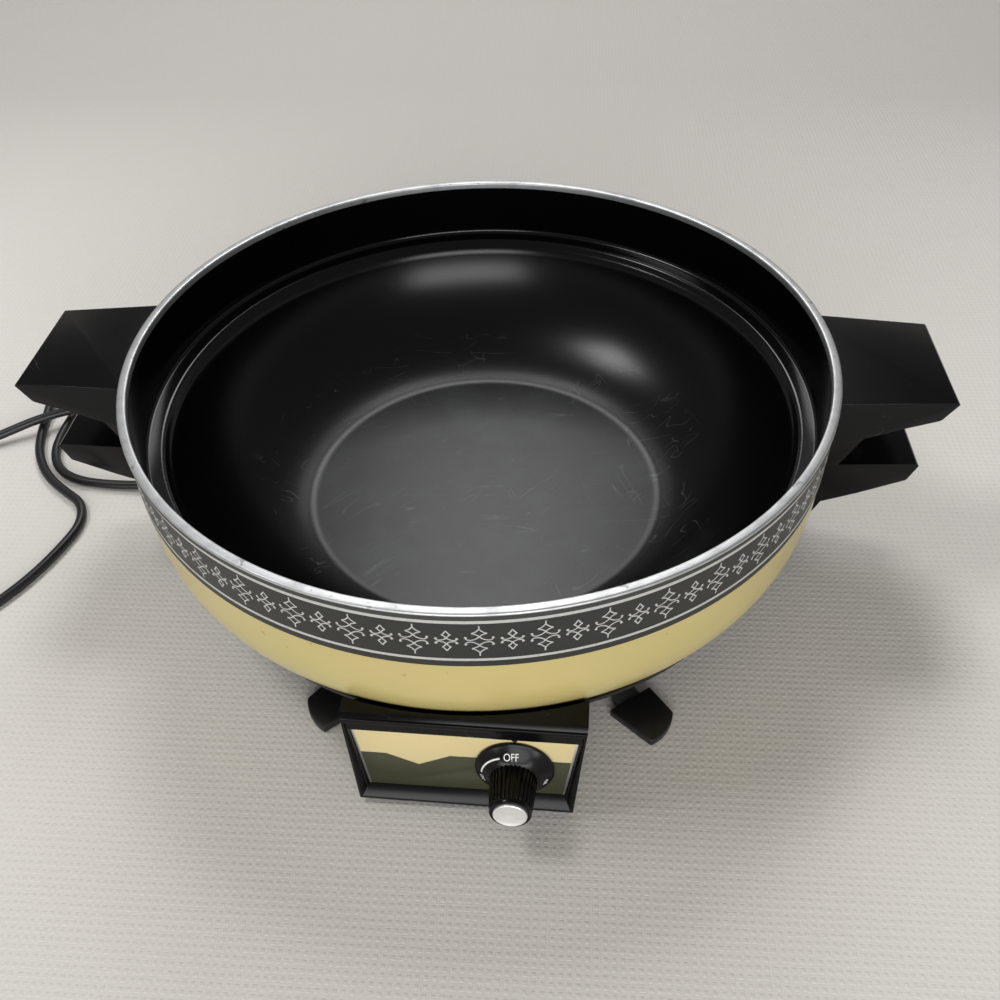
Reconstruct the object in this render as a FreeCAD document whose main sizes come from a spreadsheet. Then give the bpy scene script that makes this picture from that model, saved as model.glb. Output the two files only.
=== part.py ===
"""Electric skillet: a lift-off round pan on a heater base with a front control box.

Millimetres, +Z up, the floor at z = 0, the pan's axis on Z and the control box towards -Y.
"""

import FreeCAD, Part
import math
import os
import Sketcher

Vec = FreeCAD.Vector

os.makedirs("parts", exist_ok=True)
doc = FreeCAD.newDocument("electric_skillet")

# Driving dimensions
DRIVING = {
    # pan
    "rim_top": 114.0,
    "pan_radius": 152.2,
    "liner_wall": 1.4,
    "shell_wall": 1.4,
    "band_wall": 0.6,
    "band_top": 110.4,
    "band_depth": 24.2,
    "rim_depth": 3.2,
    "rim_lap": 0.5,
    "collar_depth": 30.0,
    "ledge_width": 8.6,
    "ledge_drop": 4.2,
    "bowl_corner": 53.0,
    "bowl_floor_radius": 86.0,
    "floor_top": 27.0,
    "floor_wall": 5.5,
    "shell_corner": 49.3,
    "shell_bottom": 22.0,
    "shell_opening": 94.0,
    # pan handles
    "grip_reach": 203.0,
    "grip_top": 109.6,
    "grip_droop": 1.6,
    "grip_root_half": 34.0,
    "grip_tip_half": 29.0,
    "grip_tip_depth": 9.2,
    "grip_tip_slant": 5.5,
    "grip_root_depth": 34.5,
    "grip_throat_gap": 10.9,
    "grip_throat_depth": 20.0,
    "grip_edge": 1.2,
    # base dish
    "dish_rim_radius": 140.0,
    "dish_rim_height": 31.0,
    "dish_foot_radius": 124.5,
    "dish_bottom": 7.4,
    "dish_wall": 1.6,
    "dish_bead": 1.6,
    "shell_clearance": 2.0,
    # base handles
    "lug_reach": 196.0,
    "lug_top": 71.5,
    "lug_tip_depth": 9.5,
    "lug_tip_slant": 3.5,
    "lug_mid_reach": 172.0,
    "lug_mid_height": 54.0,
    "lug_throat_reach": 152.0,
    "lug_throat_height": 38.0,
    "lug_root_height": 14.0,
    "lug_root_half": 30.0,
    "lug_tip_half": 26.5,
    # control box
    "box_shift": 3.2,
    "box_yaw": -1.8,
    "box_top": 51.0,
    "box_bottom": 2.0,
    "box_front_top": 156.0,
    "box_front_bottom": 160.4,
    "box_back": 104.0,
    "box_top_half": 47.3,
    "box_bottom_half": 43.2,
    "panel_top": 42.6,
    "panel_bottom": 6.4,
    "panel_top_half": 44.6,
    "panel_bottom_half": 39.8,
    "panel_recess": 2.4,
    "plate_wall": 0.8,
    "cover_wall": 1.2,
    "cover_inset": 6.0,
    "cover_width": 26.0,
    "cover_setback": 8.0,
    # knob
    "knob_side": 22.8,
    "knob_height": 24.1,
    "skirt_radius": 15.6,
    "skirt_wall": 0.9,
    "flare_radius": 15.2,
    "flare_top_radius": 10.0,
    "flare_height": 4.1,
    "grip_radius_back": 9.4,
    "grip_radius_front": 8.2,
    "grip_length": 20.1,
    "cap_radius": 6.6,
    "cap_wall": 1.0,
    "shaft_radius": 3.0,
    "shaft_length": 16.0,
    "shaft_clearance": 0.05,
    "knob_gap": 0.4,
    "rib_count": 30.0,
    # heater
    "element_radius": 72.0,
    "element_tube": 3.5,
    "element_gap": 0.5,
    "element_exit": 13.0,
    "element_bend": 12.0,
    "element_end": 111.0,
    "reflector_radius": 108.0,
    "reflector_wall": 0.8,
    "rest_radius": 4.0,
    "rest_circle": 99.5,
    "rest_gap": 0.3,
    "sensor_radius": 9.0,
    "clip_width": 9.0,
    # legs
    "leg_angle": 53.13,
    "leg_shift": 9.0,
    "leg_offset": 16.2,
    "leg_half": 6.0,
    "leg_wall": 1.6,
    "leg_low": 1.3,
    "leg_start": 62.0,
    "leg_knee": 112.0,
    "leg_rise_run": 8.0,
    "pad_offset": 4.2,
    "pad_half": 11.0,
    "pad_taper": 5.0,
    "pad_short": 16.0,
    "pad_long": 22.0,
    "pad_height": 4.2,
    "pad_arc": 20.0,
    # fastenings
    "screw_radius": 2.0,
    "screw_head": 3.8,
    "screw_head_height": 1.6,
    "screw_bite": 4.0,
    "screw_offset": 9.0,
    "grip_screw_rise": 2.9,
    "lug_screw_drop": 4.4,
    "plate_strap": 1.5,
    "plate_half": 9.0,
    # cord
    "cord_diameter": 5.0,
    "relief_height": 7.6,
    "relief_side": 18.0,
    "relief_length": 24.0,
    "relief_root": 6.0,
    "relief_tip": 3.8,
    "coil_x": -321.0,
    "coil_y": -2.5,
    "coil_outer": 32.0,
    "coil_pitch": 5.5,
    "coil_turns": 4.0,
    "coil_start": 120.0,
    "coil_end": 225.0,
    "plug_width": 24.0,
    "plug_length": 30.0,
    "plug_height": 11.0,
    "blade_length": 17.5,
    "blade_width": 6.3,
    "blade_wall": 1.5,
    "blade_spacing": 12.7,
}

sheet = doc.addObject("Spreadsheet::Sheet", "Sizes")
for row, (alias, value) in enumerate(DRIVING.items(), start=1):
    sheet.set("A%d" % row, alias)
    sheet.set("B%d" % row, str(value))
    sheet.setAlias("B%d" % row, alias)
doc.recompute()


class Size:
    """A length with its value and the sheet expression that gives it."""

    def __init__(self, value, text):
        self.value = float(value)
        self.text = text

    def _join(self, other, sign, value):
        other = as_size(other)
        return Size(value(self.value, other.value), "(%s %s %s)" % (self.text, sign, other.text))

    def __add__(self, other):
        return self._join(other, "+", lambda a, b: a + b)

    def __sub__(self, other):
        return self._join(other, "-", lambda a, b: a - b)

    def __mul__(self, other):
        return self._join(other, "*", lambda a, b: a * b)

    def __truediv__(self, other):
        return self._join(other, "/", lambda a, b: a / b)

    def __neg__(self):
        return self * -1.0

    def __float__(self):
        return self.value


def as_size(thing):
    """Return a Size for a Size or a plain number."""
    if isinstance(thing, Size):
        return thing
    return Size(thing, "%r" % float(thing))


def dim(alias):
    """Return the named driving dimension."""
    return Size(sheet.get(alias), "Sizes.%s" % alias)


def value_of(alias):
    """Return the named driving dimension as a plain number."""
    return float(sheet.get(alias))


def root(size):
    """Return the square root of a size expression."""
    return Size(math.sqrt(size.value), "sqrt(%s)" % size.text)


finished = []


def finish(thing, label):
    """Name a sub-part and put it on the list of pieces to export."""
    thing.Label = label
    finished.append(thing)
    return thing


def plane_of(body, role):
    """Return one of a body's own origin planes."""
    for feature in body.Origin.OriginFeatures:
        if feature.Role == role:
            return feature
    raise ValueError(role)


def arc_between(start, end, radius, bulge):
    """Return the arc from start to end whose middle lies on the bulge side."""
    chord = end - start
    half = chord.Length / 2
    normal = Vec(-chord.y, chord.x, 0).normalize() * bulge
    sagitta = radius - math.sqrt(radius * radius - half * half)
    middle = (start + end) / 2 + normal * sagitta
    # a sketch keeps its arcs counterclockwise, so one that bulges left runs backwards
    if bulge > 0:
        return Part.Arc(end, middle, start)
    return Part.Arc(start, middle, end)


def draw(sketch, points, arcs=()):
    """Draw a closed outline whose corners and arc radii are bound to the sheet.

    points holds (across, up) pairs of sizes; arcs maps the number of the edge that starts
    at a point to (radius, bulge), with bulge +1 to the left of the walk and -1 to its right.
    """
    arcs = dict(arcs)
    flat = [Vec(float(a), float(b), 0) for a, b in points]
    count = len(flat)
    for number in range(count):
        start, end = flat[number], flat[(number + 1) % count]
        if number in arcs:
            radius, bulge = arcs[number]
            sketch.addGeometry(arc_between(start, end, float(radius), bulge), False)
        else:
            sketch.addGeometry(Part.LineSegment(start, end), False)
    backwards = [number for number, (radius, bulge) in arcs.items() if bulge > 0]
    ends = [(2, 1) if number in backwards else (1, 2) for number in range(count)]
    for number in range(count):
        following = (number + 1) % count
        joint = Sketcher.Constraint("Coincident", number, ends[number][1], following, ends[following][0])
        sketch.addConstraint(joint)
    for number, (across, up) in enumerate(points):
        for kind, size in (("DistanceX", as_size(across)), ("DistanceY", as_size(up))):
            place = Sketcher.Constraint(kind, -1, 1, number, ends[number][0], size.value)
            index = sketch.addConstraint(place)
            if "Sizes" in size.text:
                sketch.setExpression("Constraints[%d]" % index, size.text)
    for number, (radius, bulge) in arcs.items():
        size = as_size(radius)
        index = sketch.addConstraint(Sketcher.Constraint("Radius", number, size.value))
        if "Sizes" in size.text:
            sketch.setExpression("Constraints[%d]" % index, size.text)


def new_body(name, role, points, arcs=()):
    """Return a body and its outline sketch on one of the body's origin planes."""
    body = doc.addObject("PartDesign::Body", name)
    sketch = body.newObject("Sketcher::SketchObject", name + "_outline")
    sketch.AttachmentSupport = [(plane_of(body, role), "")]
    sketch.MapMode = "FlatFace"
    draw(sketch, points, arcs)
    return body, sketch


def revolved(name, points, arcs=()):
    """Return a body turned about Z from an outline of (radius, height) pairs."""
    body, sketch = new_body(name, "XZ_Plane", points, arcs)
    turned = body.newObject("PartDesign::Revolution", name + "_turned")
    turned.Profile = sketch
    turned.ReferenceAxis = (sketch, ["V_Axis"])
    turned.Angle = 360.0
    sketch.Visibility = False
    return body


def padded(name, role, points, depth, arcs=(), midplane=True):
    """Return a body padded from an outline on the named plane."""
    body, sketch = new_body(name, role, points, arcs)
    pad = body.newObject("PartDesign::Pad", name + "_pad")
    pad.Profile = sketch
    size = as_size(depth)
    pad.Length = size.value
    if "Sizes" in size.text:
        pad.setExpression("Length", size.text)
    pad.Midplane = midplane
    return body


def cylinder(name, radius, height, start, direction, spin=None):
    """Return a cylinder from start along direction, with its sizes bound to the sheet."""
    thing = doc.addObject("Part::Cylinder", name)
    bind(thing, "Radius", radius)
    bind(thing, "Height", height)
    thing.Placement = FreeCAD.Placement(Vec(*start), spin or FreeCAD.Rotation(Vec(0, 0, 1), Vec(*direction)))
    return thing


def bind(thing, field, size):
    """Set one property from a size and tie it to the sheet."""
    size = as_size(size)
    setattr(thing, field, size.value)
    if "Sizes" in size.text:
        thing.setExpression(field, size.text)


def joined(name, pieces):
    """Return several separate solids as one object."""
    thing = doc.addObject("Part::Compound", name)
    thing.Links = pieces
    return thing


def cut(name, base, tool):
    """Return base less tool."""
    thing = doc.addObject("Part::Cut", name)
    thing.Base = base
    thing.Tool = tool
    return thing


def common(name, base, tool):
    """Return what base and tool share."""
    thing = doc.addObject("Part::Common", name)
    thing.Base = base
    thing.Tool = tool
    return thing


def fused(name, pieces):
    """Return the pieces as one solid."""
    thing = doc.addObject("Part::MultiFuse", name)
    thing.Shapes = pieces
    return thing


# Radii and heights that several pieces share
rim_top = dim("rim_top")
liner_outer = dim("pan_radius") + dim("liner_wall")
shell_outer = liner_outer + dim("shell_wall")
band_outer = shell_outer + dim("band_wall")
rim_outer = band_outer + dim("rim_lap")
rim_bottom = rim_top - dim("rim_depth")
ledge_top = rim_top - dim("collar_depth")
ledge_inner = dim("pan_radius") - dim("ledge_width")
bowl_top = ledge_top - dim("ledge_drop")
bowl_radius = ledge_inner - dim("liner_wall") * 2
arc_centre_radius = shell_outer - dim("shell_corner")
arc_centre_height = dim("shell_bottom") + dim("shell_corner")
pan_underside = dim("floor_top") - dim("floor_wall")
dish_floor = dim("dish_bottom") + dim("dish_wall")
reflector_top = dish_floor + dim("reflector_wall")
element_height = pan_underside - dim("element_gap") - dim("element_tube")


def make_pan():
    """Model the pan's liner, enamelled shell, decorated band and bare rim."""
    floor_edge = dim("bowl_floor_radius")
    wall = dim("liner_wall")
    corner = dim("bowl_corner")
    floor_top = dim("floor_top")
    liner = revolved(
        "pan_liner",
        [
            (0, pan_underside),
            (floor_edge - 2, pan_underside),
            (floor_edge + 4, floor_top - wall),
            (bowl_radius + wall + 1, bowl_top),
            (ledge_inner + wall * 2, ledge_top - wall * 2),
            (liner_outer, ledge_top - wall * 2),
            (liner_outer, rim_bottom),
            (dim("pan_radius"), rim_bottom),
            (dim("pan_radius"), ledge_top + 2),
            (dim("pan_radius") - 2, ledge_top),
            (ledge_inner, ledge_top - 0.8),
            (bowl_radius + 1.2, bowl_top + 1.2),
            (bowl_radius, bowl_top),
            (floor_edge, floor_top + 2),
            (floor_edge - 12, floor_top),
            (0, floor_top),
        ],
        {2: (corner + wall, -1), 8: (Size(2, "2"), 1), 12: (corner, 1)},
    )
    finish(liner, "pan_liner")

    outer_arc = dim("shell_corner")
    shell = revolved(
        "pan_shell",
        [
            (dim("shell_opening"), dim("shell_bottom")),
            (arc_centre_radius, dim("shell_bottom")),
            (shell_outer, arc_centre_height),
            (shell_outer, rim_bottom),
            (liner_outer, rim_bottom),
            (liner_outer, arc_centre_height),
            (arc_centre_radius, dim("shell_bottom") + dim("shell_wall")),
            (dim("shell_opening"), dim("shell_bottom") + dim("shell_wall")),
        ],
        {1: (outer_arc, -1), 5: (outer_arc - dim("shell_wall"), 1)},
    )
    finish(shell, "pan_shell")

    band = revolved(
        "pan_band",
        [
            (shell_outer, dim("band_top") - dim("band_depth")),
            (band_outer, dim("band_top") - dim("band_depth")),
            (band_outer, dim("band_top")),
            (shell_outer, dim("band_top")),
        ],
    )
    finish(band, "pan_band")

    edge = Size(0.5, "0.5")
    rim = revolved(
        "pan_rim",
        [
            (dim("pan_radius"), rim_bottom),
            (rim_outer - edge, rim_bottom),
            (rim_outer, rim_bottom + edge),
            (rim_outer, rim_top - edge),
            (rim_outer - edge, rim_top),
            (dim("pan_radius") + edge, rim_top),
            (dim("pan_radius"), rim_top - edge),
        ],
    )
    finish(rim, "pan_rim")


def paddle(name, outline, root_half, tip_half, root_reach, tip_reach):
    """Return a handle blank: its side outline padded across and narrowed towards the tip."""
    side = padded(name + "_side", "XZ_Plane", outline, root_half * 4)
    plan = padded(
        name + "_plan",
        "XY_Plane",
        [
            (root_reach, -root_half),
            (tip_reach, -tip_half),
            (tip_reach, tip_half),
            (root_reach, root_half),
        ],
        rim_top * 2,
    )
    return common(name + "_blank", side, plan)


def turned_half(thing):
    """Turn an object half round the pan's axis."""
    thing.Placement = FreeCAD.Placement(Vec(0, 0, 0), FreeCAD.Rotation(Vec(0, 0, 1), 180))


def make_pan_handles():
    """Model the two phenolic handles on the pan, their steel straps and screws."""
    top = dim("grip_top")
    reach = dim("grip_reach")
    tip_top = top - dim("grip_droop")
    tip_low = tip_top - dim("grip_tip_depth")
    throat = band_outer + dim("grip_throat_gap")
    throat_low = top - dim("grip_throat_depth")
    foot_low = top - dim("grip_root_depth")
    edge = dim("grip_edge")
    start = dim("pan_radius") - 10
    outline = [
        (start, top),
        (reach - edge, tip_top),
        (reach, tip_top - edge),
        (reach - dim("grip_tip_slant"), tip_low),
        (reach - dim("grip_tip_slant") - edge, tip_low - edge / 2),
        (throat + 14, throat_low + 4.4),
        (throat, throat_low),
        (band_outer + 3, foot_low),
        (start, foot_low),
    ]
    blank = paddle("pan_grip", outline, dim("grip_root_half"), dim("grip_tip_half"), start, reach)
    core = revolved(
        "pan_grip_seat",
        [
            (0, foot_low - 20),
            (shell_outer, foot_low - 20),
            (shell_outer, dim("band_top") - dim("band_depth")),
            (band_outer, dim("band_top") - dim("band_depth")),
            (band_outer, rim_top + 20),
            (0, rim_top + 20),
        ],
    )
    strap = dim("plate_strap")
    strap_outline = [
        (shell_outer, foot_low - strap),
        (band_outer + 3, foot_low - strap),
        (throat + 2, throat_low - strap),
        (throat, throat_low),
        (band_outer + 3, foot_low),
        (shell_outer, foot_low),
    ]
    for side in ("right", "left"):
        grip = cut("pan_handle_" + side, blank, core)
        screw = doc.addObject("Part::Cylinder", "pan_screw_shank_" + side)
        bind(screw, "Radius", dim("screw_radius"))
        bind(screw, "Height", dim("screw_bite") + 6)
        head = doc.addObject("Part::Cylinder", "pan_screw_head_" + side)
        bind(head, "Radius", dim("screw_head"))
        bind(head, "Height", dim("screw_head_height"))
        seat = Vec(
            float(throat) + value_of("screw_offset"), 0, float(throat_low) + value_of("grip_screw_rise")
        )
        screw.Placement.Base = seat
        head.Placement.Base = seat - Vec(0, 0, value_of("screw_head_height"))
        bolt = fused("pan_handle_screw_" + side, [screw, head])
        bracket = padded("pan_bracket_" + side, "XZ_Plane", strap_outline, dim("plate_half") * 2)
        if side == "left":
            turned_half(grip)
            turned_half(bolt)
            turned_half(bracket)
        finish(grip, "pan_handle_" + side)
        finish(bolt, "pan_handle_screw_" + side)
        finish(bracket, "pan_handle_bracket_" + side)


def make_envelope():
    """Return the solid that the base's outer pieces stay clear of: the dish and the pan above it."""
    gap = dim("shell_clearance")
    arc = dim("shell_corner") + gap
    drop = arc_centre_height - dim("dish_rim_height") - 0.4
    reach = arc_centre_radius + root(arc * arc - drop * drop)
    return revolved(
        "base_envelope",
        [
            (0, dim("dish_bottom")),
            (dim("dish_foot_radius"), dim("dish_bottom")),
            (dim("dish_rim_radius"), dim("dish_rim_height") - dim("dish_bead")),
            (dim("dish_rim_radius") + 0.4, dim("dish_rim_height") + 0.4),
            (reach, dim("dish_rim_height") + 0.4),
            (shell_outer + gap, arc_centre_height),
            (shell_outer + gap, rim_top),
            (0, rim_top),
        ],
        {4: (arc, -1)},
    )


def make_dish():
    """Model the black base dish, its reflector, pan rests, sensor and element."""
    wall = dim("dish_wall")
    bead = dim("dish_bead")
    rim = dim("dish_rim_radius")
    height = dim("dish_rim_height")
    foot = dim("dish_foot_radius")
    bottom = dim("dish_bottom")
    dish = revolved(
        "base_dish",
        [
            (0, bottom),
            (foot, bottom),
            (rim, height - bead),
            (rim, height),
            (rim - bead, height),
            (rim - bead - 0.6, height - bead),
            (foot - wall, bottom + wall),
            (0, bottom + wall),
        ],
    )
    finish(dish, "base_dish")

    reflector = cylinder(
        "heat_reflector", dim("reflector_radius"), dim("reflector_wall"), (0, 0, float(dish_floor)), (0, 0, 1)
    )
    reflector.setExpression("Placement.Base.z", dish_floor.text)
    finish(reflector, "heat_reflector")

    rests = []
    rest_top = dim("shell_bottom") - dim("rest_gap")
    for number in range(3):
        angle = math.radians(90 + 120 * number)
        post = doc.addObject("Part::Cylinder", "pan_rest_%d" % number)
        bind(post, "Radius", dim("rest_radius"))
        bind(post, "Height", rest_top - reflector_top)
        post.setExpression("Placement.Base.x", "%s * %r" % (dim("rest_circle").text, math.cos(angle)))
        post.setExpression("Placement.Base.y", "%s * %r" % (dim("rest_circle").text, math.sin(angle)))
        post.setExpression("Placement.Base.z", reflector_top.text)
        rests.append(post)
    finish(joined("pan_rests", rests), "pan_rests")

    sensor = doc.addObject("Part::Cylinder", "heat_sensor")
    bind(sensor, "Radius", dim("sensor_radius"))
    bind(sensor, "Height", pan_underside - dim("rest_gap") - reflector_top)
    sensor.setExpression("Placement.Base.z", reflector_top.text)
    finish(sensor, "heat_sensor")

    clips = []
    for number in range(3):
        clip = doc.addObject("Part::Box", "element_clip_%d" % number)
        bind(clip, "Length", dim("element_tube") * 3)
        bind(clip, "Width", dim("clip_width"))
        bind(clip, "Height", element_height - dim("element_tube") - reflector_top)
        angle = 30 + 60 * number * 2
        turn = FreeCAD.Rotation(Vec(0, 0, 1), angle)
        offset = Vec(value_of("element_radius") - 1.5 * value_of("element_tube"), -value_of("clip_width") / 2, 0)
        clip.Placement = FreeCAD.Placement(turn.multVec(offset) + Vec(0, 0, float(reflector_top)), turn)
        clips.append(clip)
    finish(joined("element_clips", clips), "element_clips")


def tube_on(edges, radius):
    """Return a round solid swept along tangent edges."""
    wire = Part.Wire(edges)
    first = edges[0]
    start = first.valueAt(first.FirstParameter)
    heading = first.tangentAt(first.FirstParameter)
    ring = Part.Wire([Part.makeCircle(radius, start, heading)])
    return wire.makePipeShell([ring], True, False)


def feature(name, shape):
    """Return a plain object that holds a shape made from the sheet's sizes."""
    thing = doc.addObject("Part::Feature", name)
    thing.Shape = shape
    return thing


def make_element():
    """Model the tubular heating element: an open ring whose ends turn towards the control box."""
    ring = value_of("element_radius")
    bend = value_of("element_bend")
    exit_side = value_of("element_exit")
    end = value_of("element_end")
    level = float(element_height)
    # centre of each bend circle lies outside the ring, level with the straight exit
    bend_x = exit_side + bend
    bend_y = -math.sqrt((ring + bend) ** 2 - bend_x ** 2)
    touch = ring / (ring + bend)
    right = Vec(bend_x * touch, bend_y * touch, level)
    left = Vec(-right.x, right.y, level)
    turn = math.atan2(right.y - bend_y, right.x - bend_x)
    middle = (turn + math.pi) / 2
    right_mid = Vec(bend_x + bend * math.cos(middle), bend_y + bend * math.sin(middle), level)
    edges = [
        Part.LineSegment(Vec(-exit_side, -end, level), Vec(-exit_side, bend_y, level)).toShape(),
        Part.Arc(Vec(-exit_side, bend_y, level), Vec(-right_mid.x, right_mid.y, level), left).toShape(),
        Part.Arc(left, Vec(-ring, 0, level), Vec(0, ring, level)).toShape(),
        Part.Arc(Vec(0, ring, level), Vec(ring, 0, level), right).toShape(),
        Part.Arc(right, right_mid, Vec(exit_side, bend_y, level)).toShape(),
        Part.LineSegment(Vec(exit_side, bend_y, level), Vec(exit_side, -end, level)).toShape(),
    ]
    finish(feature("heating_element", tube_on(edges, value_of("element_tube"))), "heating_element")

    block = doc.addObject("Part::Box", "terminal_block")
    bind(block, "Length", dim("element_exit") * 2 + dim("element_tube") * 4)
    bind(block, "Width", 8)
    bind(block, "Height", element_height + dim("element_tube") - reflector_top)
    block.setExpression("Placement.Base.x", "-(%s)" % (dim("element_exit") + dim("element_tube") * 2).text)
    block.setExpression("Placement.Base.y", "-(%s)" % (dim("element_end") + 8).text)
    block.setExpression("Placement.Base.z", (dish_floor + 0.0).text)
    finish(block, "terminal_block")


def make_base_handles(envelope):
    """Model the two smaller phenolic handles on the base, with their screws."""
    top = dim("lug_top")
    reach = dim("lug_reach")
    start = dim("dish_foot_radius") - 6
    outline = [
        (start, top),
        (reach - dim("grip_edge"), top),
        (reach, top - dim("grip_edge")),
        (reach - dim("lug_tip_slant"), top - dim("lug_tip_depth")),
        (dim("lug_mid_reach"), dim("lug_mid_height")),
        (dim("lug_throat_reach") + 5, dim("lug_mid_height") - 5),
        (dim("lug_throat_reach"), dim("lug_throat_height")),
        (dim("dish_rim_radius") - 2, dim("lug_root_height")),
        (start, dim("lug_root_height")),
    ]
    blank = paddle("base_grip", outline, dim("lug_root_half"), dim("lug_tip_half"), start, reach)
    for side in ("right", "left"):
        lug = cut("base_handle_" + side, blank, envelope)
        screw = doc.addObject("Part::Cylinder", "base_screw_shank_" + side)
        bind(screw, "Radius", dim("screw_radius"))
        bind(screw, "Height", dim("screw_bite") + 5)
        head = doc.addObject("Part::Cylinder", "base_screw_head_" + side)
        bind(head, "Radius", dim("screw_head"))
        bind(head, "Height", dim("screw_head_height"))
        seat = Vec(
            value_of("lug_throat_reach") + value_of("screw_offset"),
            0,
            value_of("lug_mid_height") - value_of("lug_screw_drop"),
        )
        screw.Placement.Base = seat
        head.Placement.Base = seat - Vec(0, 0, value_of("screw_head_height"))
        bolt = fused("base_handle_screw_" + side, [screw, head])
        if side == "left":
            turned_half(lug)
            turned_half(bolt)
        finish(lug, "base_handle_" + side)
        finish(bolt, "base_handle_screw_" + side)


def face_lean():
    """Return the lean of the box's front, in degrees back from upright."""
    rise = value_of("box_top") - value_of("box_bottom")
    run = value_of("box_front_bottom") - value_of("box_front_top")
    return math.degrees(math.atan2(run, rise))


def front_at(height):
    """Return the y of the box's front face at a height."""
    low = value_of("box_bottom")
    share = (height - low) / (value_of("box_top") - low)
    return -(value_of("box_front_bottom") + share * (value_of("box_front_top") - value_of("box_front_bottom")))


def make_control_box(envelope):
    """Model the control box: a tapered housing with a recessed panel, its plate and cover."""
    shift = dim("box_shift")
    front_top = -dim("box_front_top")
    front_low = -dim("box_front_bottom")
    side = padded(
        "box_side",
        "YZ_Plane",
        [
            (-dim("box_back"), dim("box_bottom")),
            (front_low + 1.2, dim("box_bottom")),
            (front_low + 0.4, dim("box_bottom") + 1.0),
            (front_top, dim("box_top") - 1.4),
            (front_top + 1.4, dim("box_top")),
            (-dim("box_back"), dim("box_top")),
        ],
        dim("box_top_half") * 4,
    )
    face = padded(
        "box_face",
        "XZ_Plane",
        [
            (shift - dim("box_bottom_half"), dim("box_bottom")),
            (shift + dim("box_bottom_half"), dim("box_bottom")),
            (shift + dim("box_top_half"), dim("box_top")),
            (shift - dim("box_top_half"), dim("box_top")),
        ],
        dim("box_front_bottom") * 4,
    )
    # the box stands turned a little on the dish, about the middle of its front
    middle = Vec(value_of("box_shift"), -value_of("box_front_top") - 2, 0)
    yaw = FreeCAD.Placement(Vec(0, 0, 0), FreeCAD.Rotation(Vec(0, 0, 1), value_of("box_yaw")), middle)
    side.Placement = yaw.multiply(side.Placement)
    face.Placement = yaw.multiply(face.Placement)
    body = common("box_blank", side, face)

    lean = face_lean()
    tilt = FreeCAD.Rotation(Vec(1, 0, 0), -lean)
    foot = Vec(0, front_at(0), 0)

    def panel_block(name, inset, depth, start):
        """Return a block with the panel's outline, leaning with the front face."""
        block = padded(
            name,
            "XZ_Plane",
            [
                (shift - dim("panel_bottom_half") + inset, dim("panel_bottom") + inset),
                (shift + dim("panel_bottom_half") - inset, dim("panel_bottom") + inset),
                (shift + dim("panel_top_half") - inset, dim("panel_top") - inset),
                (shift - dim("panel_top_half") + inset, dim("panel_top") - inset),
            ],
            depth,
            midplane=False,
        )
        block.Placement = yaw.multiply(FreeCAD.Placement(foot + tilt.multVec(Vec(0, start, 0)), tilt))
        return block

    # a pad on the front plane grows towards -Y, so the recess starts inside the wall
    recess = panel_block("panel_recess_tool", 0, dim("panel_recess") + 6, value_of("panel_recess"))
    hollow = cut("box_recessed", body, recess)
    carved = cut("box_carved", hollow, envelope)

    axis = yaw.Rotation.multVec(tilt.multVec(Vec(0, -1, 0)))
    seat = yaw.multVec(Vec(value_of("knob_side"), front_at(value_of("knob_height")), value_of("knob_height")))
    bore = doc.addObject("Part::Cylinder", "shaft_bore")
    bind(bore, "Radius", dim("shaft_radius") + dim("shaft_clearance"))
    bind(bore, "Height", dim("shaft_length") + 12)
    along = FreeCAD.Rotation(Vec(0, 0, 1), axis)
    bore.Placement = FreeCAD.Placement(seat - axis * (value_of("shaft_length") + 2), along)
    finish(cut("control_box", carved, bore), "control_box")

    plate_blank = panel_block("plate_blank", 0.3, dim("plate_wall"), value_of("panel_recess"))
    plate = cut("control_plate", plate_blank, bore)
    finish(plate, "control_plate")

    cover = doc.addObject("Part::Box", "box_cover")
    bind(cover, "Length", dim("box_bottom_half") * 2 - dim("cover_inset") * 2)
    bind(cover, "Width", dim("cover_width"))
    bind(cover, "Height", dim("cover_wall"))
    corner = Vec(
        value_of("box_shift") - value_of("box_bottom_half") + value_of("cover_inset"),
        -value_of("box_front_bottom") + value_of("cover_setback"),
        value_of("box_bottom") - value_of("cover_wall"),
    )
    cover.Placement = yaw.multiply(FreeCAD.Placement(corner, FreeCAD.Rotation()))
    finish(cover, "box_cover")
    return seat, axis, along


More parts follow.
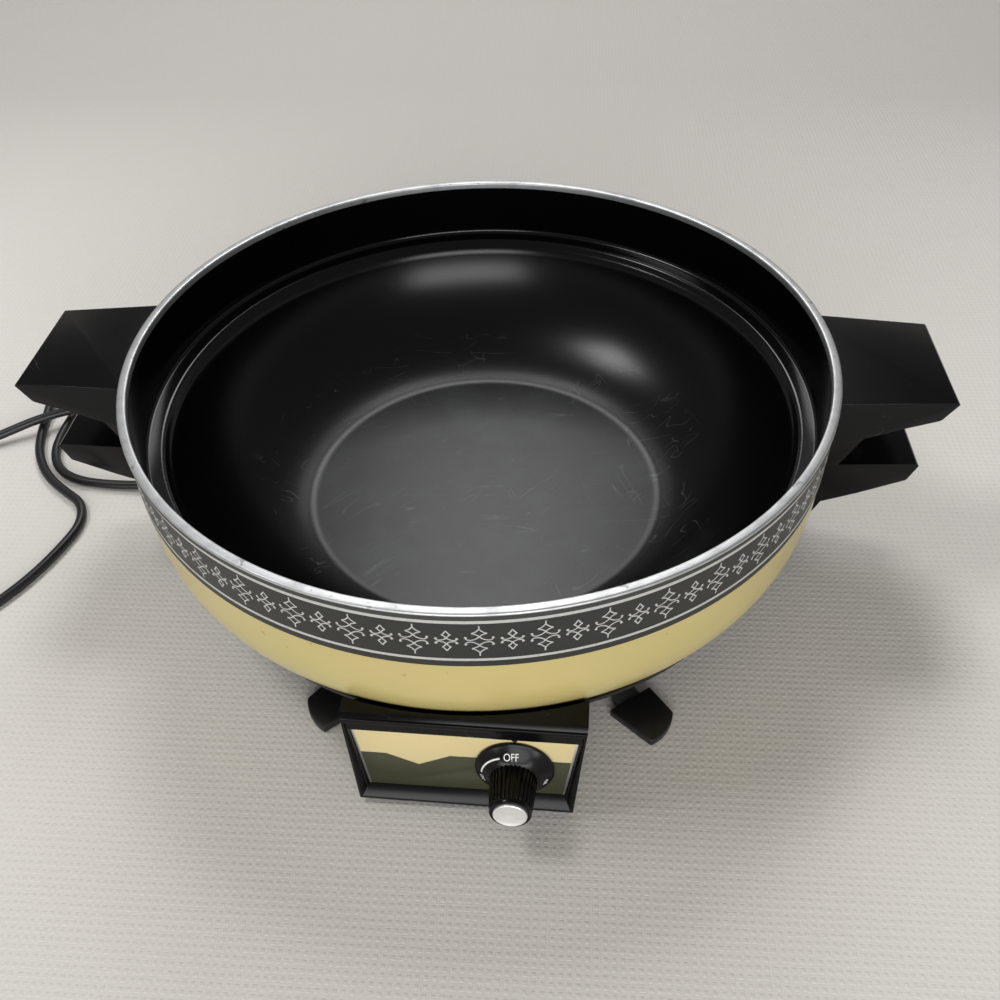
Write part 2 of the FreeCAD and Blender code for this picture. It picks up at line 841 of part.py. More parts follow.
def make_knob(seat, axis, along):
    """Model the knob: a skirt and ribbed grip, a spun cap and the thermostat shaft."""
    plate_face = seat - axis * (value_of("panel_recess") - value_of("plate_wall"))
    start = plate_face + axis * value_of("knob_gap")
    skirt_wall = value_of("skirt_wall")
    grip_length = value_of("grip_length")

    skirt = doc.addObject("Part::Cone", "knob_skirt")
    bind(skirt, "Radius1", dim("skirt_radius"))
    bind(skirt, "Radius2", dim("skirt_radius") - 0.2)
    bind(skirt, "Height", dim("skirt_wall"))
    skirt.Placement = FreeCAD.Placement(start, along)

    flare = doc.addObject("Part::Cone", "knob_flare")
    bind(flare, "Radius1", dim("flare_radius"))
    bind(flare, "Radius2", dim("flare_top_radius"))
    bind(flare, "Height", dim("flare_height"))
    flare.Placement = FreeCAD.Placement(start + axis * skirt_wall, along)

    grip = doc.addObject("Part::Cone", "knob_grip_core")
    bind(grip, "Radius1", dim("grip_radius_back") - 0.6)
    bind(grip, "Radius2", dim("grip_radius_front") - 0.6)
    bind(grip, "Height", dim("grip_length"))
    grip.Placement = FreeCAD.Placement(start + axis * skirt_wall, along)

    ribs = []
    count = int(value_of("rib_count"))
    for number in range(count):
        rib = doc.addObject("Part::Cone", "knob_rib_%02d" % number)
        bind(rib, "Radius1", 0.72)
        bind(rib, "Radius2", 0.66)
        bind(rib, "Height", dim("grip_length") - 0.8)
        angle = 2 * math.pi * number / count
        out = along.multVec(Vec(math.cos(angle), math.sin(angle), 0))
        lean_in = value_of("grip_radius_back") - value_of("grip_radius_front")
        direction = axis * grip_length - out * lean_in
        spot = start + axis * (skirt_wall - 0.2) + out * (value_of("grip_radius_back") - 0.72)
        rib.Placement = FreeCAD.Placement(spot, FreeCAD.Rotation(Vec(0, 0, 1), direction))
        ribs.append(rib)

    bore = doc.addObject("Part::Cylinder", "knob_bore")
    bind(bore, "Radius", dim("shaft_radius"))
    bind(bore, "Height", dim("skirt_wall") + 8)
    bore.Placement = FreeCAD.Placement(start - axis * 1.0, along)
    whole = fused("knob_whole", [skirt, flare, grip] + ribs)
    finish(cut("knob_grip", whole, bore), "knob_grip")

    cap = doc.addObject("Part::Cylinder", "knob_cap")
    bind(cap, "Radius", dim("cap_radius"))
    bind(cap, "Height", dim("cap_wall"))
    cap.Placement = FreeCAD.Placement(start + axis * (skirt_wall + grip_length), along)
    finish(cap, "knob_cap")

    shaft = doc.addObject("Part::Cylinder", "knob_shaft")
    bind(shaft, "Radius", dim("shaft_radius"))
    bind(shaft, "Height", dim("shaft_length") + dim("skirt_wall") + 7)
    shaft.Placement = FreeCAD.Placement(start - axis * value_of("shaft_length"), along)
    finish(shaft, "knob_shaft")


def make_legs():
    """Model the four steel leg straps, their moulded foot pads and rivets."""
    wall = dim("leg_wall")
    low = dim("leg_low")
    high = dim("dish_bottom") - wall
    knee = dim("leg_knee")
    ankle = knee + dim("leg_rise_run")
    pad_start = ankle + dim("pad_offset")
    strap_end = pad_start + 12
    rivets = []
    corners = (("front_right", -1, 1), ("front_left", -1, -1), ("rear_right", 1, 1), ("rear_left", 1, -1))
    for name, end, side in corners:
        angle = end * value_of("leg_angle") if side > 0 else 180 - end * value_of("leg_angle")
        mirror = -end * side
        turn = FreeCAD.Rotation(Vec(0, 0, 1), angle)
        aside = turn.multVec(Vec(0, -mirror * value_of("leg_offset"), 0)) + Vec(value_of("leg_shift"), 0, 0)
        strap = padded(
            "leg_" + name,
            "XZ_Plane",
            [
                (dim("leg_start"), high),
                (knee, high),
                (ankle, low),
                (strap_end, low),
                (strap_end, low + wall),
                (ankle + 0.6, low + wall),
                (knee + 0.6, high + wall),
                (dim("leg_start"), high + wall),
            ],
            dim("leg_half") * 2,
        )
        strap.Placement = FreeCAD.Placement(aside, turn)
        finish(strap, "leg_" + name)
        half = dim("pad_half")
        inner = half * mirror
        outer = half * -mirror
        start = pad_start
        outline = [
            (start, outer),
            (start + dim("pad_long"), outer - dim("pad_taper") * -mirror),
            (start + dim("pad_short"), inner),
            (start, inner),
        ]
        blank = padded(
            "pad_blank_" + name,
            "XY_Plane",
            outline,
            dim("pad_height"),
            {1: (dim("pad_arc"), -mirror)},
            midplane=False,
        )
        blank.Placement = FreeCAD.Placement(aside, turn)
        finish(cut("foot_pad_" + name, blank, strap), "foot_pad_" + name)
        rivet = doc.addObject("Part::Cylinder", "rivet_" + name)
        bind(rivet, "Radius", 3.2)
        bind(rivet, "Height", 1.4)
        spot = turn.multVec(Vec(value_of("leg_start") + 14, -mirror * value_of("leg_offset"), 0))
        rivet.Placement.Base = spot + Vec(value_of("leg_shift"), 0, float(high) - 1.4)
        rivets.append(rivet)
    finish(joined("leg_rivets", rivets), "leg_rivets")


def route_edges(points, name):
    """Return straight runs joined by tangent arcs, each as large as its two runs allow."""
    points = [Vec(*point) for point in points]
    edges = []
    radii = []
    here = points[0]
    for before, corner, after in zip(points, points[1:], points[2:]):
        run_in = corner - before
        run_out = after - corner
        shorter = min(run_in.Length, run_out.Length)
        turn = run_in.getAngle(run_out)
        reach = 0.45 * shorter
        radius = reach / math.tan(turn / 2)
        radii.append(round(radius, 1))
        unit_in = Vec(run_in).normalize()
        unit_out = Vec(run_out).normalize()
        first = corner - unit_in * reach
        last = corner + unit_out * reach
        inward = (unit_out - unit_in).normalize()
        centre = corner + inward * (radius / math.cos(turn / 2))
        middle = centre - inward * radius
        edges.append(Part.LineSegment(here, first).toShape())
        edges.append(Part.Arc(first, middle, last).toShape())
        here = last
    edges.append(Part.LineSegment(here, points[-1]).toShape())
    print(name, "radii", min(radii), radii)
    return edges


def make_cord():
    """Model the supply cord: its strain relief, two free stretches, the coil and the plug."""
    diameter = value_of("cord_diameter")
    radius = diameter / 2
    floor = radius
    pitch = value_of("coil_pitch")
    side = value_of("relief_side")
    height = value_of("relief_height")

    relief = doc.addObject("Part::Cone", "strain_relief")
    bind(relief, "Radius1", dim("relief_root"))
    bind(relief, "Radius2", dim("relief_tip"))
    bind(relief, "Height", dim("relief_length"))
    slope = (value_of("dish_rim_radius") - value_of("dish_foot_radius")) / (
        value_of("dish_rim_height") - value_of("dish_bead") - value_of("dish_bottom")
    )
    wall_radius = value_of("dish_foot_radius") + slope * (height - value_of("dish_bottom"))
    wall_x = -math.sqrt(wall_radius ** 2 - side ** 2) + 1.5
    relief.Placement = FreeCAD.Placement(Vec(wall_x, side, height), FreeCAD.Rotation(Vec(0, 0, 1), Vec(-1, 0, 0)))
    finish(relief, "strain_relief")

    # the coil lies on the floor in two layers: inwards below, outwards above
    centre = Vec(value_of("coil_x"), value_of("coil_y"), 0)
    outer = value_of("coil_outer")
    begin = math.radians(value_of("coil_start"))
    total = math.radians(value_of("coil_end") - value_of("coil_start") + 360 * value_of("coil_turns"))
    layer = pitch

    def coil_point(share):
        """Return the coil's centre line at a share of its whole turn."""
        angle = begin + share * total
        turned = share * total
        inward = min(turned, total - turned)
        distance = outer - pitch * inward / (2 * math.pi)
        climb_turn = math.pi
        rise = (turned - (total - climb_turn) / 2) / climb_turn
        rise = min(1.0, max(0.0, rise))
        level = floor + layer * (1 - math.cos(math.pi * rise)) / 2
        return centre + Vec(distance * math.cos(angle), distance * math.sin(angle), level)

    def coil_heading(share):
        """Return the coil's direction at a share of its whole turn."""
        step = 1e-4
        low = max(0.0, share - step)
        high = min(1.0, share + step)
        return (coil_point(high) - coil_point(low)).normalize()

    steps = int(math.ceil(total / (math.pi / 2)))
    edges = []
    for number in range(steps):
        low = number / steps
        high = (number + 1) / steps
        edges += biarc(coil_point(low), coil_heading(low), coil_point(high), coil_heading(high))
    coil_in = coil_point(0)
    coil_out = coil_point(1)
    heading_in = edges[0].tangentAt(edges[0].FirstParameter)
    heading_out = edges[-1].tangentAt(edges[-1].LastParameter)
    edges.insert(0, Part.LineSegment(coil_in - heading_in * diameter, coil_in).toShape())
    edges.append(Part.LineSegment(coil_out, coil_out + heading_out * diameter).toShape())
    coil = tube_on(edges, radius)
    coil_length = sum(edge.Length for edge in edges)
    samples = [coil_point(number / 720) for number in range(721)]
    apart = int(720 / (total / (2 * math.pi)) / 3)
    gap = min(
        (samples[i] - samples[j]).Length for i in range(721) for j in range(i + apart, 721)
    )
    print("coil length", round(coil_length, 1), "least gap to itself", round(gap - diameter, 2))
    finish(feature("cord_coil", coil), "cord_coil")

    relief_tip = Vec(wall_x - value_of("relief_length"), side, height)
    coil_start = coil_in - heading_in * diameter
    near = [
        tuple(relief_tip),
        (relief_tip.x - 14, side, height),
        (relief_tip.x - 29, side + 0.3, height - 2.4),
        (-194, 18.9, floor + 0.3),
        (-210, 19.6, floor),
        (-226, 21.8, floor),
        (-239.5, 29.0, floor),
        (-248.5, 43.0, floor),
        (-251, 61, floor),
        (-250.6, 77, floor),
        (-250.0, 92, floor),
        (-249.5, 106.0, floor),
        (-243.8, 119.8, floor),
        (-230.0, 125.5, floor),
        (-216.2, 119.8, floor),
        (-210.5, 106.0, floor),
        (-216.2, 92.2, floor + 0.6),
        (-229.5, 84.6, floor + 3.4),
        (-247.0, 76.0, floor + 6.6),
        (-265.0, 66.0, floor + 6.5),
        (-283.0, 55.5, floor + 3.2),
        (-301.0, 45.0, floor + 0.4),
        tuple(coil_start - heading_in * 17 + Vec(0, 0, 0.0)),
        tuple(coil_start),
    ]
    far_start = coil_out + heading_out * diameter
    entry = value_of("plug_height") / 2
    far = [
        tuple(far_start),
        tuple(far_start + heading_out * 14),
        (-306.0, -60.5, floor + 1.2),
        (-289.0, -76.5, floor),
        (-268.0, -88.0, floor),
        (-248.0, -83.0, floor),
        (-235.0, -68.0, floor),
        (-224.5, -50.0, floor),
        (-217.0, -30.0, floor),
        (-212.5, -11.0, floor),
        (-218.0, 4.5, floor),
        (-232.0, 14.0, floor),
        (-246.0, 25.5, floor),
        (-257.0, 42.0, floor),
        (-262.6, 58.5, floor),
        (-265.4, 74.0, floor + 0.4),
        (-267.0, 89.0, entry),
        (-267.8, 102.0, entry),
    ]
    for name, points in (("cord_near", near), ("cord_far", far)):
        edges = route_edges(points, name)
        tube = tube_on(edges, radius)
        length = sum(edge.Length for edge in edges)
        print(name, "length", round(length, 1), "volume ratio", round(tube.Volume / (math.pi * radius ** 2 * length), 4))
        finish(feature(name, tube), name)

    # the plug lies flat, with its blades away from the cord
    last = edges[-1]
    tail = last.valueAt(last.LastParameter)
    heading = last.tangentAt(last.LastParameter)
    lie = FreeCAD.Rotation(Vec(1, 0, 0), heading)
    half = value_of("plug_width") / 2
    length = value_of("plug_length")
    tall = value_of("plug_height")
    outline = [
        Vec(0, -radius - 1.5, 0),
        Vec(length * 0.45, -half * 0.55, 0),
        Vec(length * 0.7, -half, 0),
        Vec(length, -half, 0),
        Vec(length, half, 0),
        Vec(length * 0.7, half, 0),
        Vec(length * 0.45, half * 0.55, 0),
        Vec(0, radius + 1.5, 0),
    ]
    face = Part.Face(Part.makePolygon(outline + outline[:1]))
    plug_shape = face.extrude(Vec(0, 0, tall))
    plug = feature("plug_body", plug_shape)
    plug.Placement = FreeCAD.Placement(Vec(tail.x, tail.y, 0), lie)
    finish(plug, "plug_body")
    blades = []
    for number in (-1, 1):
        blade = doc.addObject("Part::Box", "plug_blade_%s" % ("left" if number < 0 else "right"))
        bind(blade, "Length", dim("blade_length"))
        bind(blade, "Width", dim("blade_wall"))
        bind(blade, "Height", dim("blade_width"))
        offset = Vec(
            length,
            number * value_of("blade_spacing") / 2 - value_of("blade_wall") / 2,
            tall / 2 - value_of("blade_width") / 2,
        )
        blade.Placement = FreeCAD.Placement(Vec(tail.x, tail.y, 0) + lie.multVec(offset), lie)
        blades.append(blade)
    finish(joined("plug_blades", blades), "plug_blades")


def biarc(start, heading, end, far_heading):
    """Return two tangent arcs from one point and heading to another."""
    span = end - start
    both = heading + far_heading
    spread = 2 * (1 - heading.dot(far_heading))
    along = span.dot(both)
    reach = (-along + math.sqrt(along * along + spread * span.dot(span))) / spread
    middle = (start + end + (heading - far_heading) * reach) / 2
    return [arc_from(start, heading, middle), arc_from(end, -far_heading, middle, True)]


def arc_from(start, heading, end, backwards=False):
    """Return the arc that leaves start along heading and reaches end."""
    chord = end - start
    cosine = chord.dot(heading) / chord.Length
    sideways = (chord - heading * chord.dot(heading)).normalize()
    radius = chord.Length / (2 * math.sqrt(max(1e-12, 1 - cosine * cosine)))
    centre = start + sideways * radius
    middle = centre + ((start + end) / 2 - centre).normalize() * radius
    if backwards:
        start, end = end, start
    return Part.Arc(start, middle, end).toShape()


make_pan()
make_pan_handles()
base_envelope = make_envelope()
make_dish()
make_element()
make_base_handles(base_envelope)
knob_seat, knob_axis, knob_along = make_control_box(base_envelope)
make_knob(knob_seat, knob_axis, knob_along)
make_legs()
make_cord()
doc.recompute()

for thing in doc.Objects:
    bad = [state for state in thing.State if state in ("Invalid", "Error")]
    if bad:
        raise RuntimeError("%s is %s" % (thing.Name, bad))
for thing in finished:
    if thing.Shape.isNull() or not thing.Shape.isValid():
        raise RuntimeError("%s has no valid shape" % thing.Label)
    if not thing.Shape.Solids:
        raise RuntimeError("%s has no solid" % thing.Label)
for thing in finished:
    thing.Shape.exportStep("parts/%s.step" % thing.Label)
print(len(finished), "sub-parts written")
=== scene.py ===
import math

import bmesh
import bpy
from bpy.props import FloatProperty, FloatVectorProperty, IntProperty, PointerProperty
from mathutils import Matrix, Vector


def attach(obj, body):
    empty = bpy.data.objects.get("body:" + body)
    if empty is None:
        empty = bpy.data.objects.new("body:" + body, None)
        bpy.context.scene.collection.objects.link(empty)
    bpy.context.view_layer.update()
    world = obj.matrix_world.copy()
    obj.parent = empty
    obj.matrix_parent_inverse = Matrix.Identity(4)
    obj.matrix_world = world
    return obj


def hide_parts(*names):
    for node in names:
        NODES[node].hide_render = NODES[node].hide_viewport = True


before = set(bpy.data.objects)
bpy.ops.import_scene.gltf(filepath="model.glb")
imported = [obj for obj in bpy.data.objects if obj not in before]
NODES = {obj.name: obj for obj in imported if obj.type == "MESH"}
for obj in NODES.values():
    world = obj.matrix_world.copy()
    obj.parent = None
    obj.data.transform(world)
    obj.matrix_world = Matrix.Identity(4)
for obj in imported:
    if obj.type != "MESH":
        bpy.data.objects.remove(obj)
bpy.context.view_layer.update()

bl_info = {
    "name": "Electric skillet",
    "version": (1, 0, 0),
    "blender": (4, 5, 0),
    "location": "View3D > Sidebar > Skillet",
    "description": "Dresses the packed model of a round electric skillet on a heater base",
    "category": "Add Mesh",
}

MM = 0.001


def mm(*numbers):
    """Millimetres as a vector, or one number, in metres."""
    if len(numbers) == 1:
        return numbers[0] * MM
    return Vector(numbers) * MM


# ---- shading


class Value:
    """A number in a node tree that takes Python's operators."""

    def __init__(self, nodes, socket):
        self.nodes = nodes
        self.socket = socket

    def maths(self, operation, *others, clamp=False):
        """This value and the others through one Math node."""
        inputs = dict(enumerate((self, *others)))
        return self.nodes.value("ShaderNodeMath", inputs, operation=operation, use_clamp=clamp)

    def __add__(self, other):
        return self.maths("ADD", other)

    __radd__ = __add__

    def __sub__(self, other):
        return self.maths("SUBTRACT", other)

    def __rsub__(self, other):
        return self.nodes.value("ShaderNodeMath", {0: other, 1: self}, operation="SUBTRACT")

    def __mul__(self, other):
        return self.maths("MULTIPLY", other)

    __rmul__ = __mul__

    def __truediv__(self, other):
        return self.maths("DIVIDE", other)

    def above(self, level, soft=0.0):
        """1 where this is above a level, with a soft step of that width."""
        if not soft:
            return self.maths("GREATER_THAN", level)
        return ((self - level) / soft + 0.5).clamped()

    def below(self, level, soft=0.0):
        """1 where this is below a level."""
        return 1 - self.above(level, soft)

    def absolute(self):
        """Its size without its sign."""
        return self.maths("ABSOLUTE")

    def clamped(self):
        """Held between 0 and 1."""
        return self.maths("ADD", 0.0, clamp=True)


class Nodes:
    """Adds nodes to one tree."""

    def __init__(self, tree):
        self.tree = tree

    def link(self, socket, given):
        """Sets a socket to a number or colour, or links a value to it."""
        if isinstance(given, Value):
            given = given.socket
        if isinstance(given, bpy.types.NodeSocket):
            self.tree.links.new(given, socket)
        else:
            socket.default_value = given

    def node(self, kind, inputs=None, **settings):
        """Any node: its settings first, then its sockets."""
        made = self.tree.nodes.new(kind)
        for key, setting in settings.items():
            setattr(made, key, setting)
        for key, given in (inputs or {}).items():
            self.link(made.inputs[key], given)
        return made

    def value(self, kind, inputs=None, output=0, **settings):
        """Any node's output as a Value."""
        return Value(self, self.node(kind, inputs, **settings).outputs[output])

    def where(self, output="Object"):
        """The place being shaded, in the object's own metres unless another output is named."""
        return self.value("ShaderNodeTexCoord", output=output)

    def vector(self, x=0.0, y=0.0, z=0.0):
        """A vector from its three parts."""
        return self.value("ShaderNodeCombineXYZ", {0: x, 1: y, 2: z})

    def split(self, vector):
        """A vector's x, y and z."""
        return [Value(self, part) for part in self.node("ShaderNodeSeparateXYZ", {0: vector}).outputs]


class Paint(Nodes):
    """Builds one node material around a Principled shader."""

    def __init__(self, name):
        self.material = bpy.data.materials.new(name)
        self.material.use_nodes = True
        super().__init__(self.material.node_tree)
        self.shader = self.tree.nodes["Principled BSDF"]

    def noise(self, scale, detail=3.0, where=None, stretch=None):
        """Noise from 0 to 1 at a scale per metre."""
        where = where or self.where()
        if stretch:
            where = self.value("ShaderNodeMapping", {"Vector": where, "Scale": stretch})
        inputs = {"Vector": where, "Scale": scale, "Detail": detail, "Roughness": 0.55}
        return self.value("ShaderNodeTexNoise", inputs)

    def scratches(self, scale, turn, narrow, width):
        """Thin straight scratches: 1 on a scratch and 0 elsewhere."""
        inputs = {"Vector": self.where(), "Rotation": turn, "Scale": (1, 1 / narrow, 1)}
        turned = self.value("ShaderNodeMapping", inputs, vector_type="TEXTURE")
        noise = self.value("ShaderNodeTexNoise", {"Vector": turned, "Scale": scale, "Detail": 2.0})
        return (noise - 0.5).absolute().below(width, width)

    def mix(self, factor, first, second):
        """Two colours mixed; the Mix node's sockets 6 and 7 take colours and its output 2 gives one."""
        return self.value("ShaderNodeMix", {0: factor, 6: first, 7: second}, 2, data_type="RGBA")

    def bump(self, height, distance, strength):
        """A bump from a height value, its distance in metres."""
        return self.value("ShaderNodeBump", {"Height": height, "Distance": distance, "Strength": strength})

    def finish(self, **sockets):
        """Sets the shader's sockets by name, with underscores for spaces."""
        for name, given in sockets.items():
            self.link(self.shader.inputs[name.replace("_", " ")], given)
        return self.material


def rgb(red, green, blue):
    """A colour written as the screen shows it, 0 to 255, as Blender's linear colour."""
    linear = []
    for part in (red, green, blue):
        part /= 255
        linear.append(part / 12.92 if part <= 0.04045 else ((part + 0.055) / 1.055) ** 2.4)
    return (*linear, 1.0)


def dimmed(colour, share):
    """A colour at a share of its brightness."""
    return (*(part * share for part in colour[:3]), 1.0)


def chosen(name):
    """A colour from the panel's settings."""
    return tuple(getattr(bpy.context.scene.skillet_colours, name))


def radius_of(across, along):
    """Distance from an upright axis through the origin, from two coordinates."""
    return (across * across + along * along).maths("SQRT")


# where the lining's floor ends and where its ledge begins, in metres
FLOOR_EDGE, LEDGE_LEVEL = 0.088, 0.08


def paint_nonstick():
    """Black non-stick lining: satin, with fine scratches and specks on the floor."""
    p = Paint("nonstick_lining")
    x, y, z = p.split(p.where())
    out = radius_of(x, y)
    floor = out.below(FLOOR_EDGE, 0.006)
    ledge = z.above(LEDGE_LEVEL, 0.004)
    fine = p.noise(900, 4)
    lines = 0.0
    for turn, scale, patch in ((0.4, 60, 31), (-0.9, 75, 37), (1.6, 66, 43), (2.4, 82, 29)):
        kept = p.noise(patch, 2, stretch=(1, 1, 3)).above(0.6, 0.06)
        lines = p.scratches(scale, (0, 0, turn), 0.08, 0.004) * kept + lines
    lines = lines.clamped() * out.below(0.11, 0.02)
    specks = p.noise(520, 1).above(0.75, 0.02)
    smudge = p.noise(32, 4).above(0.56, 0.2) * floor
    wear = (lines * 0.4 + specks * 0.3 * floor + smudge * 0.12).clamped()
    return p.finish(
        Base_Color=p.mix(wear, p.mix(floor, rgb(4, 4, 6), rgb(10, 11, 12)), rgb(92, 95, 96)),
        Roughness=0.19 + floor * 0.1 - ledge * 0.08 + p.noise(9) * 0.06 + fine * 0.04,
        Normal=p.bump(fine + lines * 0.4, 0.00004, 0.35),
        Specular_IOR_Level=0.34,
    )


def paint_yellow():
    """Pale harvest-yellow enamel with a slight unevenness and a darker, browner patch low at the front."""
    p = Paint("harvest_enamel")
    x, y, z = p.split(p.where())
    broad = p.noise(16)
    ragged = p.noise(260, 2)
    aside = (x - 0.0155).absolute() / 0.0115
    # a darker, browner patch low on the front of the shell, a little right of the middle
    patch = (aside + ragged * 0.5).below(0.95, 0.1)
    patch = patch * (z + ragged * 0.004).below(0.0425, 0.001) * y.below(0.0)
    chips = p.noise(330, 1).above(0.78, 0.02)
    tone = p.mix(broad, chosen("enamel"), rgb(187, 172, 112))
    tone = p.mix(patch * 0.55, tone, rgb(150, 134, 66))
    return p.finish(
        Base_Color=p.mix(chips * 0.5, tone, rgb(120, 104, 52)),
        Roughness=0.26 + broad * 0.1,
        Normal=p.bump(p.noise(140, 2), 0.0001, 0.12),
        Coat_Weight=0.3,
        Coat_Roughness=0.08,
    )


def paint_band():
    """Dark grey printed band, satin, with a faint brushed sheen under the print."""
    p = Paint("band_print_ground")
    streak = p.noise(30, stretch=(1, 1, 60))
    return p.finish(
        Base_Color=p.mix(streak, rgb(42, 43, 41), rgb(50, 51, 49)),
        Metallic=0.35,
        Roughness=0.4 + streak * 0.1,
        Normal=p.bump(p.noise(1500, 2), 0.00002, 0.3),
    )


def paint_print(name, colour, metal=0.0):
    """A printed colour with a trace of wear."""
    p = Paint(name)
    wear = p.noise(700)
    return p.finish(
        Base_Color=p.mix(wear.above(0.62, 0.1) * 0.6, colour, dimmed(colour, 0.72)),
        Roughness=0.38 + wear * 0.1,
        Metallic=metal,
    )


def paint_rim():
    """Bare turned aluminium edge, brushed round, dark grey and less metallic on the lower part of its outer
    side.
    """
    p = Paint("bare_rim")
    x, y, z = p.split(p.where())
    out = radius_of(x, y)
    turned = p.noise(900, 2, p.vector(out * 3, z * 3))
    nicks = p.noise(210, 4).above(0.66, 0.04)
    scuffs = p.noise(90, 4, stretch=(1, 1, 0.2))
    # the outer side below 113.1 mm is made dark grey and less metallic
    dark_outer_side = z.below(0.1131, 0.0003) * out.above(0.1546, 0.0003)
    metal = p.mix(scuffs.above(0.55, 0.2) * 0.5, rgb(196, 197, 198), rgb(150, 151, 152))
    metal = p.mix(nicks * 0.6, metal, rgb(120, 121, 122))
    return p.finish(
        Base_Color=p.mix(dark_outer_side, metal, rgb(58, 60, 57)),
        Metallic=0.9 - dark_outer_side * 0.6,
        Roughness=0.34 + scuffs * 0.2 + dark_outer_side * 0.08,
        Normal=p.bump(turned + nicks * -1.5, 0.00005, 0.5),
    )


def paint_phenolic():
    """Glossy black phenolic moulding with dust and light handling marks."""
    p = Paint("phenolic_moulding")
    smear = p.noise(24, 4)
    dust = p.noise(900, 2).above(0.77, 0.02) * p.noise(30).above(0.5, 0.2)
    rub = p.scratches(90, (0.2, 0.1, 0.9), 0.05, 0.006) * p.noise(40).above(0.62, 0.1)
    tone = p.mix(smear, rgb(5, 5, 6), rgb(10, 10, 11))
    return p.finish(
        Base_Color=p.mix((dust * 0.5 + rub * 0.2).clamped(), tone, rgb(96, 94, 90)),
        Roughness=0.14 + smear * 0.14 + rub * 0.1,
        Normal=p.bump(p.noise(45, 2) + p.noise(1600, 2) * 0.1, 0.0002, 0.1),
        Specular_IOR_Level=0.2,
    )


def paint_plain(name, low, high, patch, rough, spread, grain, metal=0.0):
    """Two near tones in patches; grain is the bump's scale, detail, depth and strength."""
    p = Paint(name)
    broad = p.noise(patch)
    scale, detail, depth, strength = grain
    return p.finish(
        Base_Color=p.mix(broad, rgb(*low), rgb(*high)),
        Metallic=metal,
        Roughness=rough + broad * spread,
        Normal=p.bump(p.noise(scale, detail), depth, strength),
    )


def paint_metal(name, colour, rough, stretch=(1, 1, 12), scale=160):
    """Plain metal with a brushed or rolled grain."""
    p = Paint(name)
    grain = p.noise(scale, 4, stretch=stretch)
    return p.finish(
        Base_Color=p.mix(p.noise(22) * 0.8, colour, dimmed(colour, 0.7)),
        Metallic=1.0,
        Roughness=rough + grain * 0.14,
        Normal=p.bump(grain, 0.00002, 0.25),
    )


# the box's front: its outward direction, its right and its up, and the knob's place on it
KNOB_AXIS = Vector((-0.031285, -0.995502, 0.089436))
PANEL_RIGHT = Vector((0.999507, -0.031411, 0))
PANEL_UP = KNOB_AXIS.cross(PANEL_RIGHT)
KNOB_SEAT = mm(22.777, -159.031, 24.1)
KNOB_CENTRE = KNOB_SEAT - KNOB_AXIS * mm(1.2)
PLATE_POINT = KNOB_SEAT - KNOB_AXIS * mm(1.6)
BOX_MIDDLE = mm(3.2, -158, 0)

# the plate's printing: the cream field's lower edge as (distance right of the box's middle, height) in mm
CHEVRON = [(-50, 3.4), (-31.2, 3.4), (-18.4, -2.3), (-5.8, 4.2), (5.2, 4.4), (60, 5.4)]
# the plate's half width at its foot, the foot's height, and how fast the plate widens upwards, in metres
PLATE_HALF, PLATE_FOOT, PLATE_SPREAD = 0.0398, 0.0064, (44.6 - 39.8) / 36.2
BARE_EDGE = 0.0013


def on_panel(start, right, up, out):
    """A point so many mm right, up and out from a start on the box's front."""
    return start + PANEL_RIGHT * mm(right) + PANEL_UP * mm(up) + KNOB_AXIS * mm(out)


def along(paint, direction, origin):
    """How far the place being shaded lies along a direction from an origin."""
    inputs = {0: paint.where(), 1: tuple(direction)}
    dot = paint.value("ShaderNodeVectorMath", inputs, "Value", operation="DOT_PRODUCT")
    return dot - origin.dot(direction)


def paint_plate():
    """Printed aluminium plate: cream above and olive below a notched line, bare at the sides."""
    p = Paint("printed_plate")
    z = p.split(p.where())[2]
    up = along(p, PANEL_UP, PLATE_POINT)
    across = along(p, PANEL_RIGHT, BOX_MIDDLE)
    line = 0.0
    for (x0, v0), (x1, v1) in zip(CHEVRON, CHEVRON[1:]):
        level = (across - x0 * MM) * ((v1 - v0) / (x1 - x0)) + v0 * MM
        line = level * (across.above(x0 * MM) * across.below(x1 * MM)) + line
    olive = (line - up).above(0.0, 0.00015)
    half = (z - PLATE_FOOT) * PLATE_SPREAD + PLATE_HALF
    bare = (across.absolute() - half).above(-BARE_EDGE, 0.0001)
    fine = p.noise(1200)
    fade = p.noise(20)
    cream = p.mix(fade, rgb(210, 195, 148), rgb(199, 182, 132))
    green = p.mix(fade, rgb(54, 56, 40), rgb(64, 65, 46))
    return p.finish(
        Base_Color=p.mix(bare, p.mix(olive, cream, green), rgb(214, 214, 210)),
        Metallic=bare * 0.9 + 0.08,
        Roughness=0.34 + fine * 0.1,
        Normal=p.bump(fine, 0.00002, 0.2),
    )


def paint_spun():
    """Spun aluminium cap: fine turned rings that catch the light in fans."""
    p = Paint("spun_cap")
    inputs = {0: p.where(), 1: tuple(KNOB_CENTRE + KNOB_AXIS * mm(22))}
    out = p.value("ShaderNodeVectorMath", inputs, "Value", operation="DISTANCE")
    rings = p.noise(9000, 1, p.vector(out))
    wear = p.noise(500)
    return p.finish(
        Base_Color=p.mix(wear, rgb(246, 246, 244), rgb(222, 222, 220)),
        Metallic=0.7,
        Roughness=0.3 + wear * 0.1,
        Normal=p.bump(rings, 0.00003, 0.6),
    )


def finish_of(name):
    """One of the object's finishes, made the first time it is asked for."""
    if name not in MATERIALS:
        maker, *settings = FINISHES[name]
        MATERIALS[name] = maker(*settings)
    return MATERIALS[name]


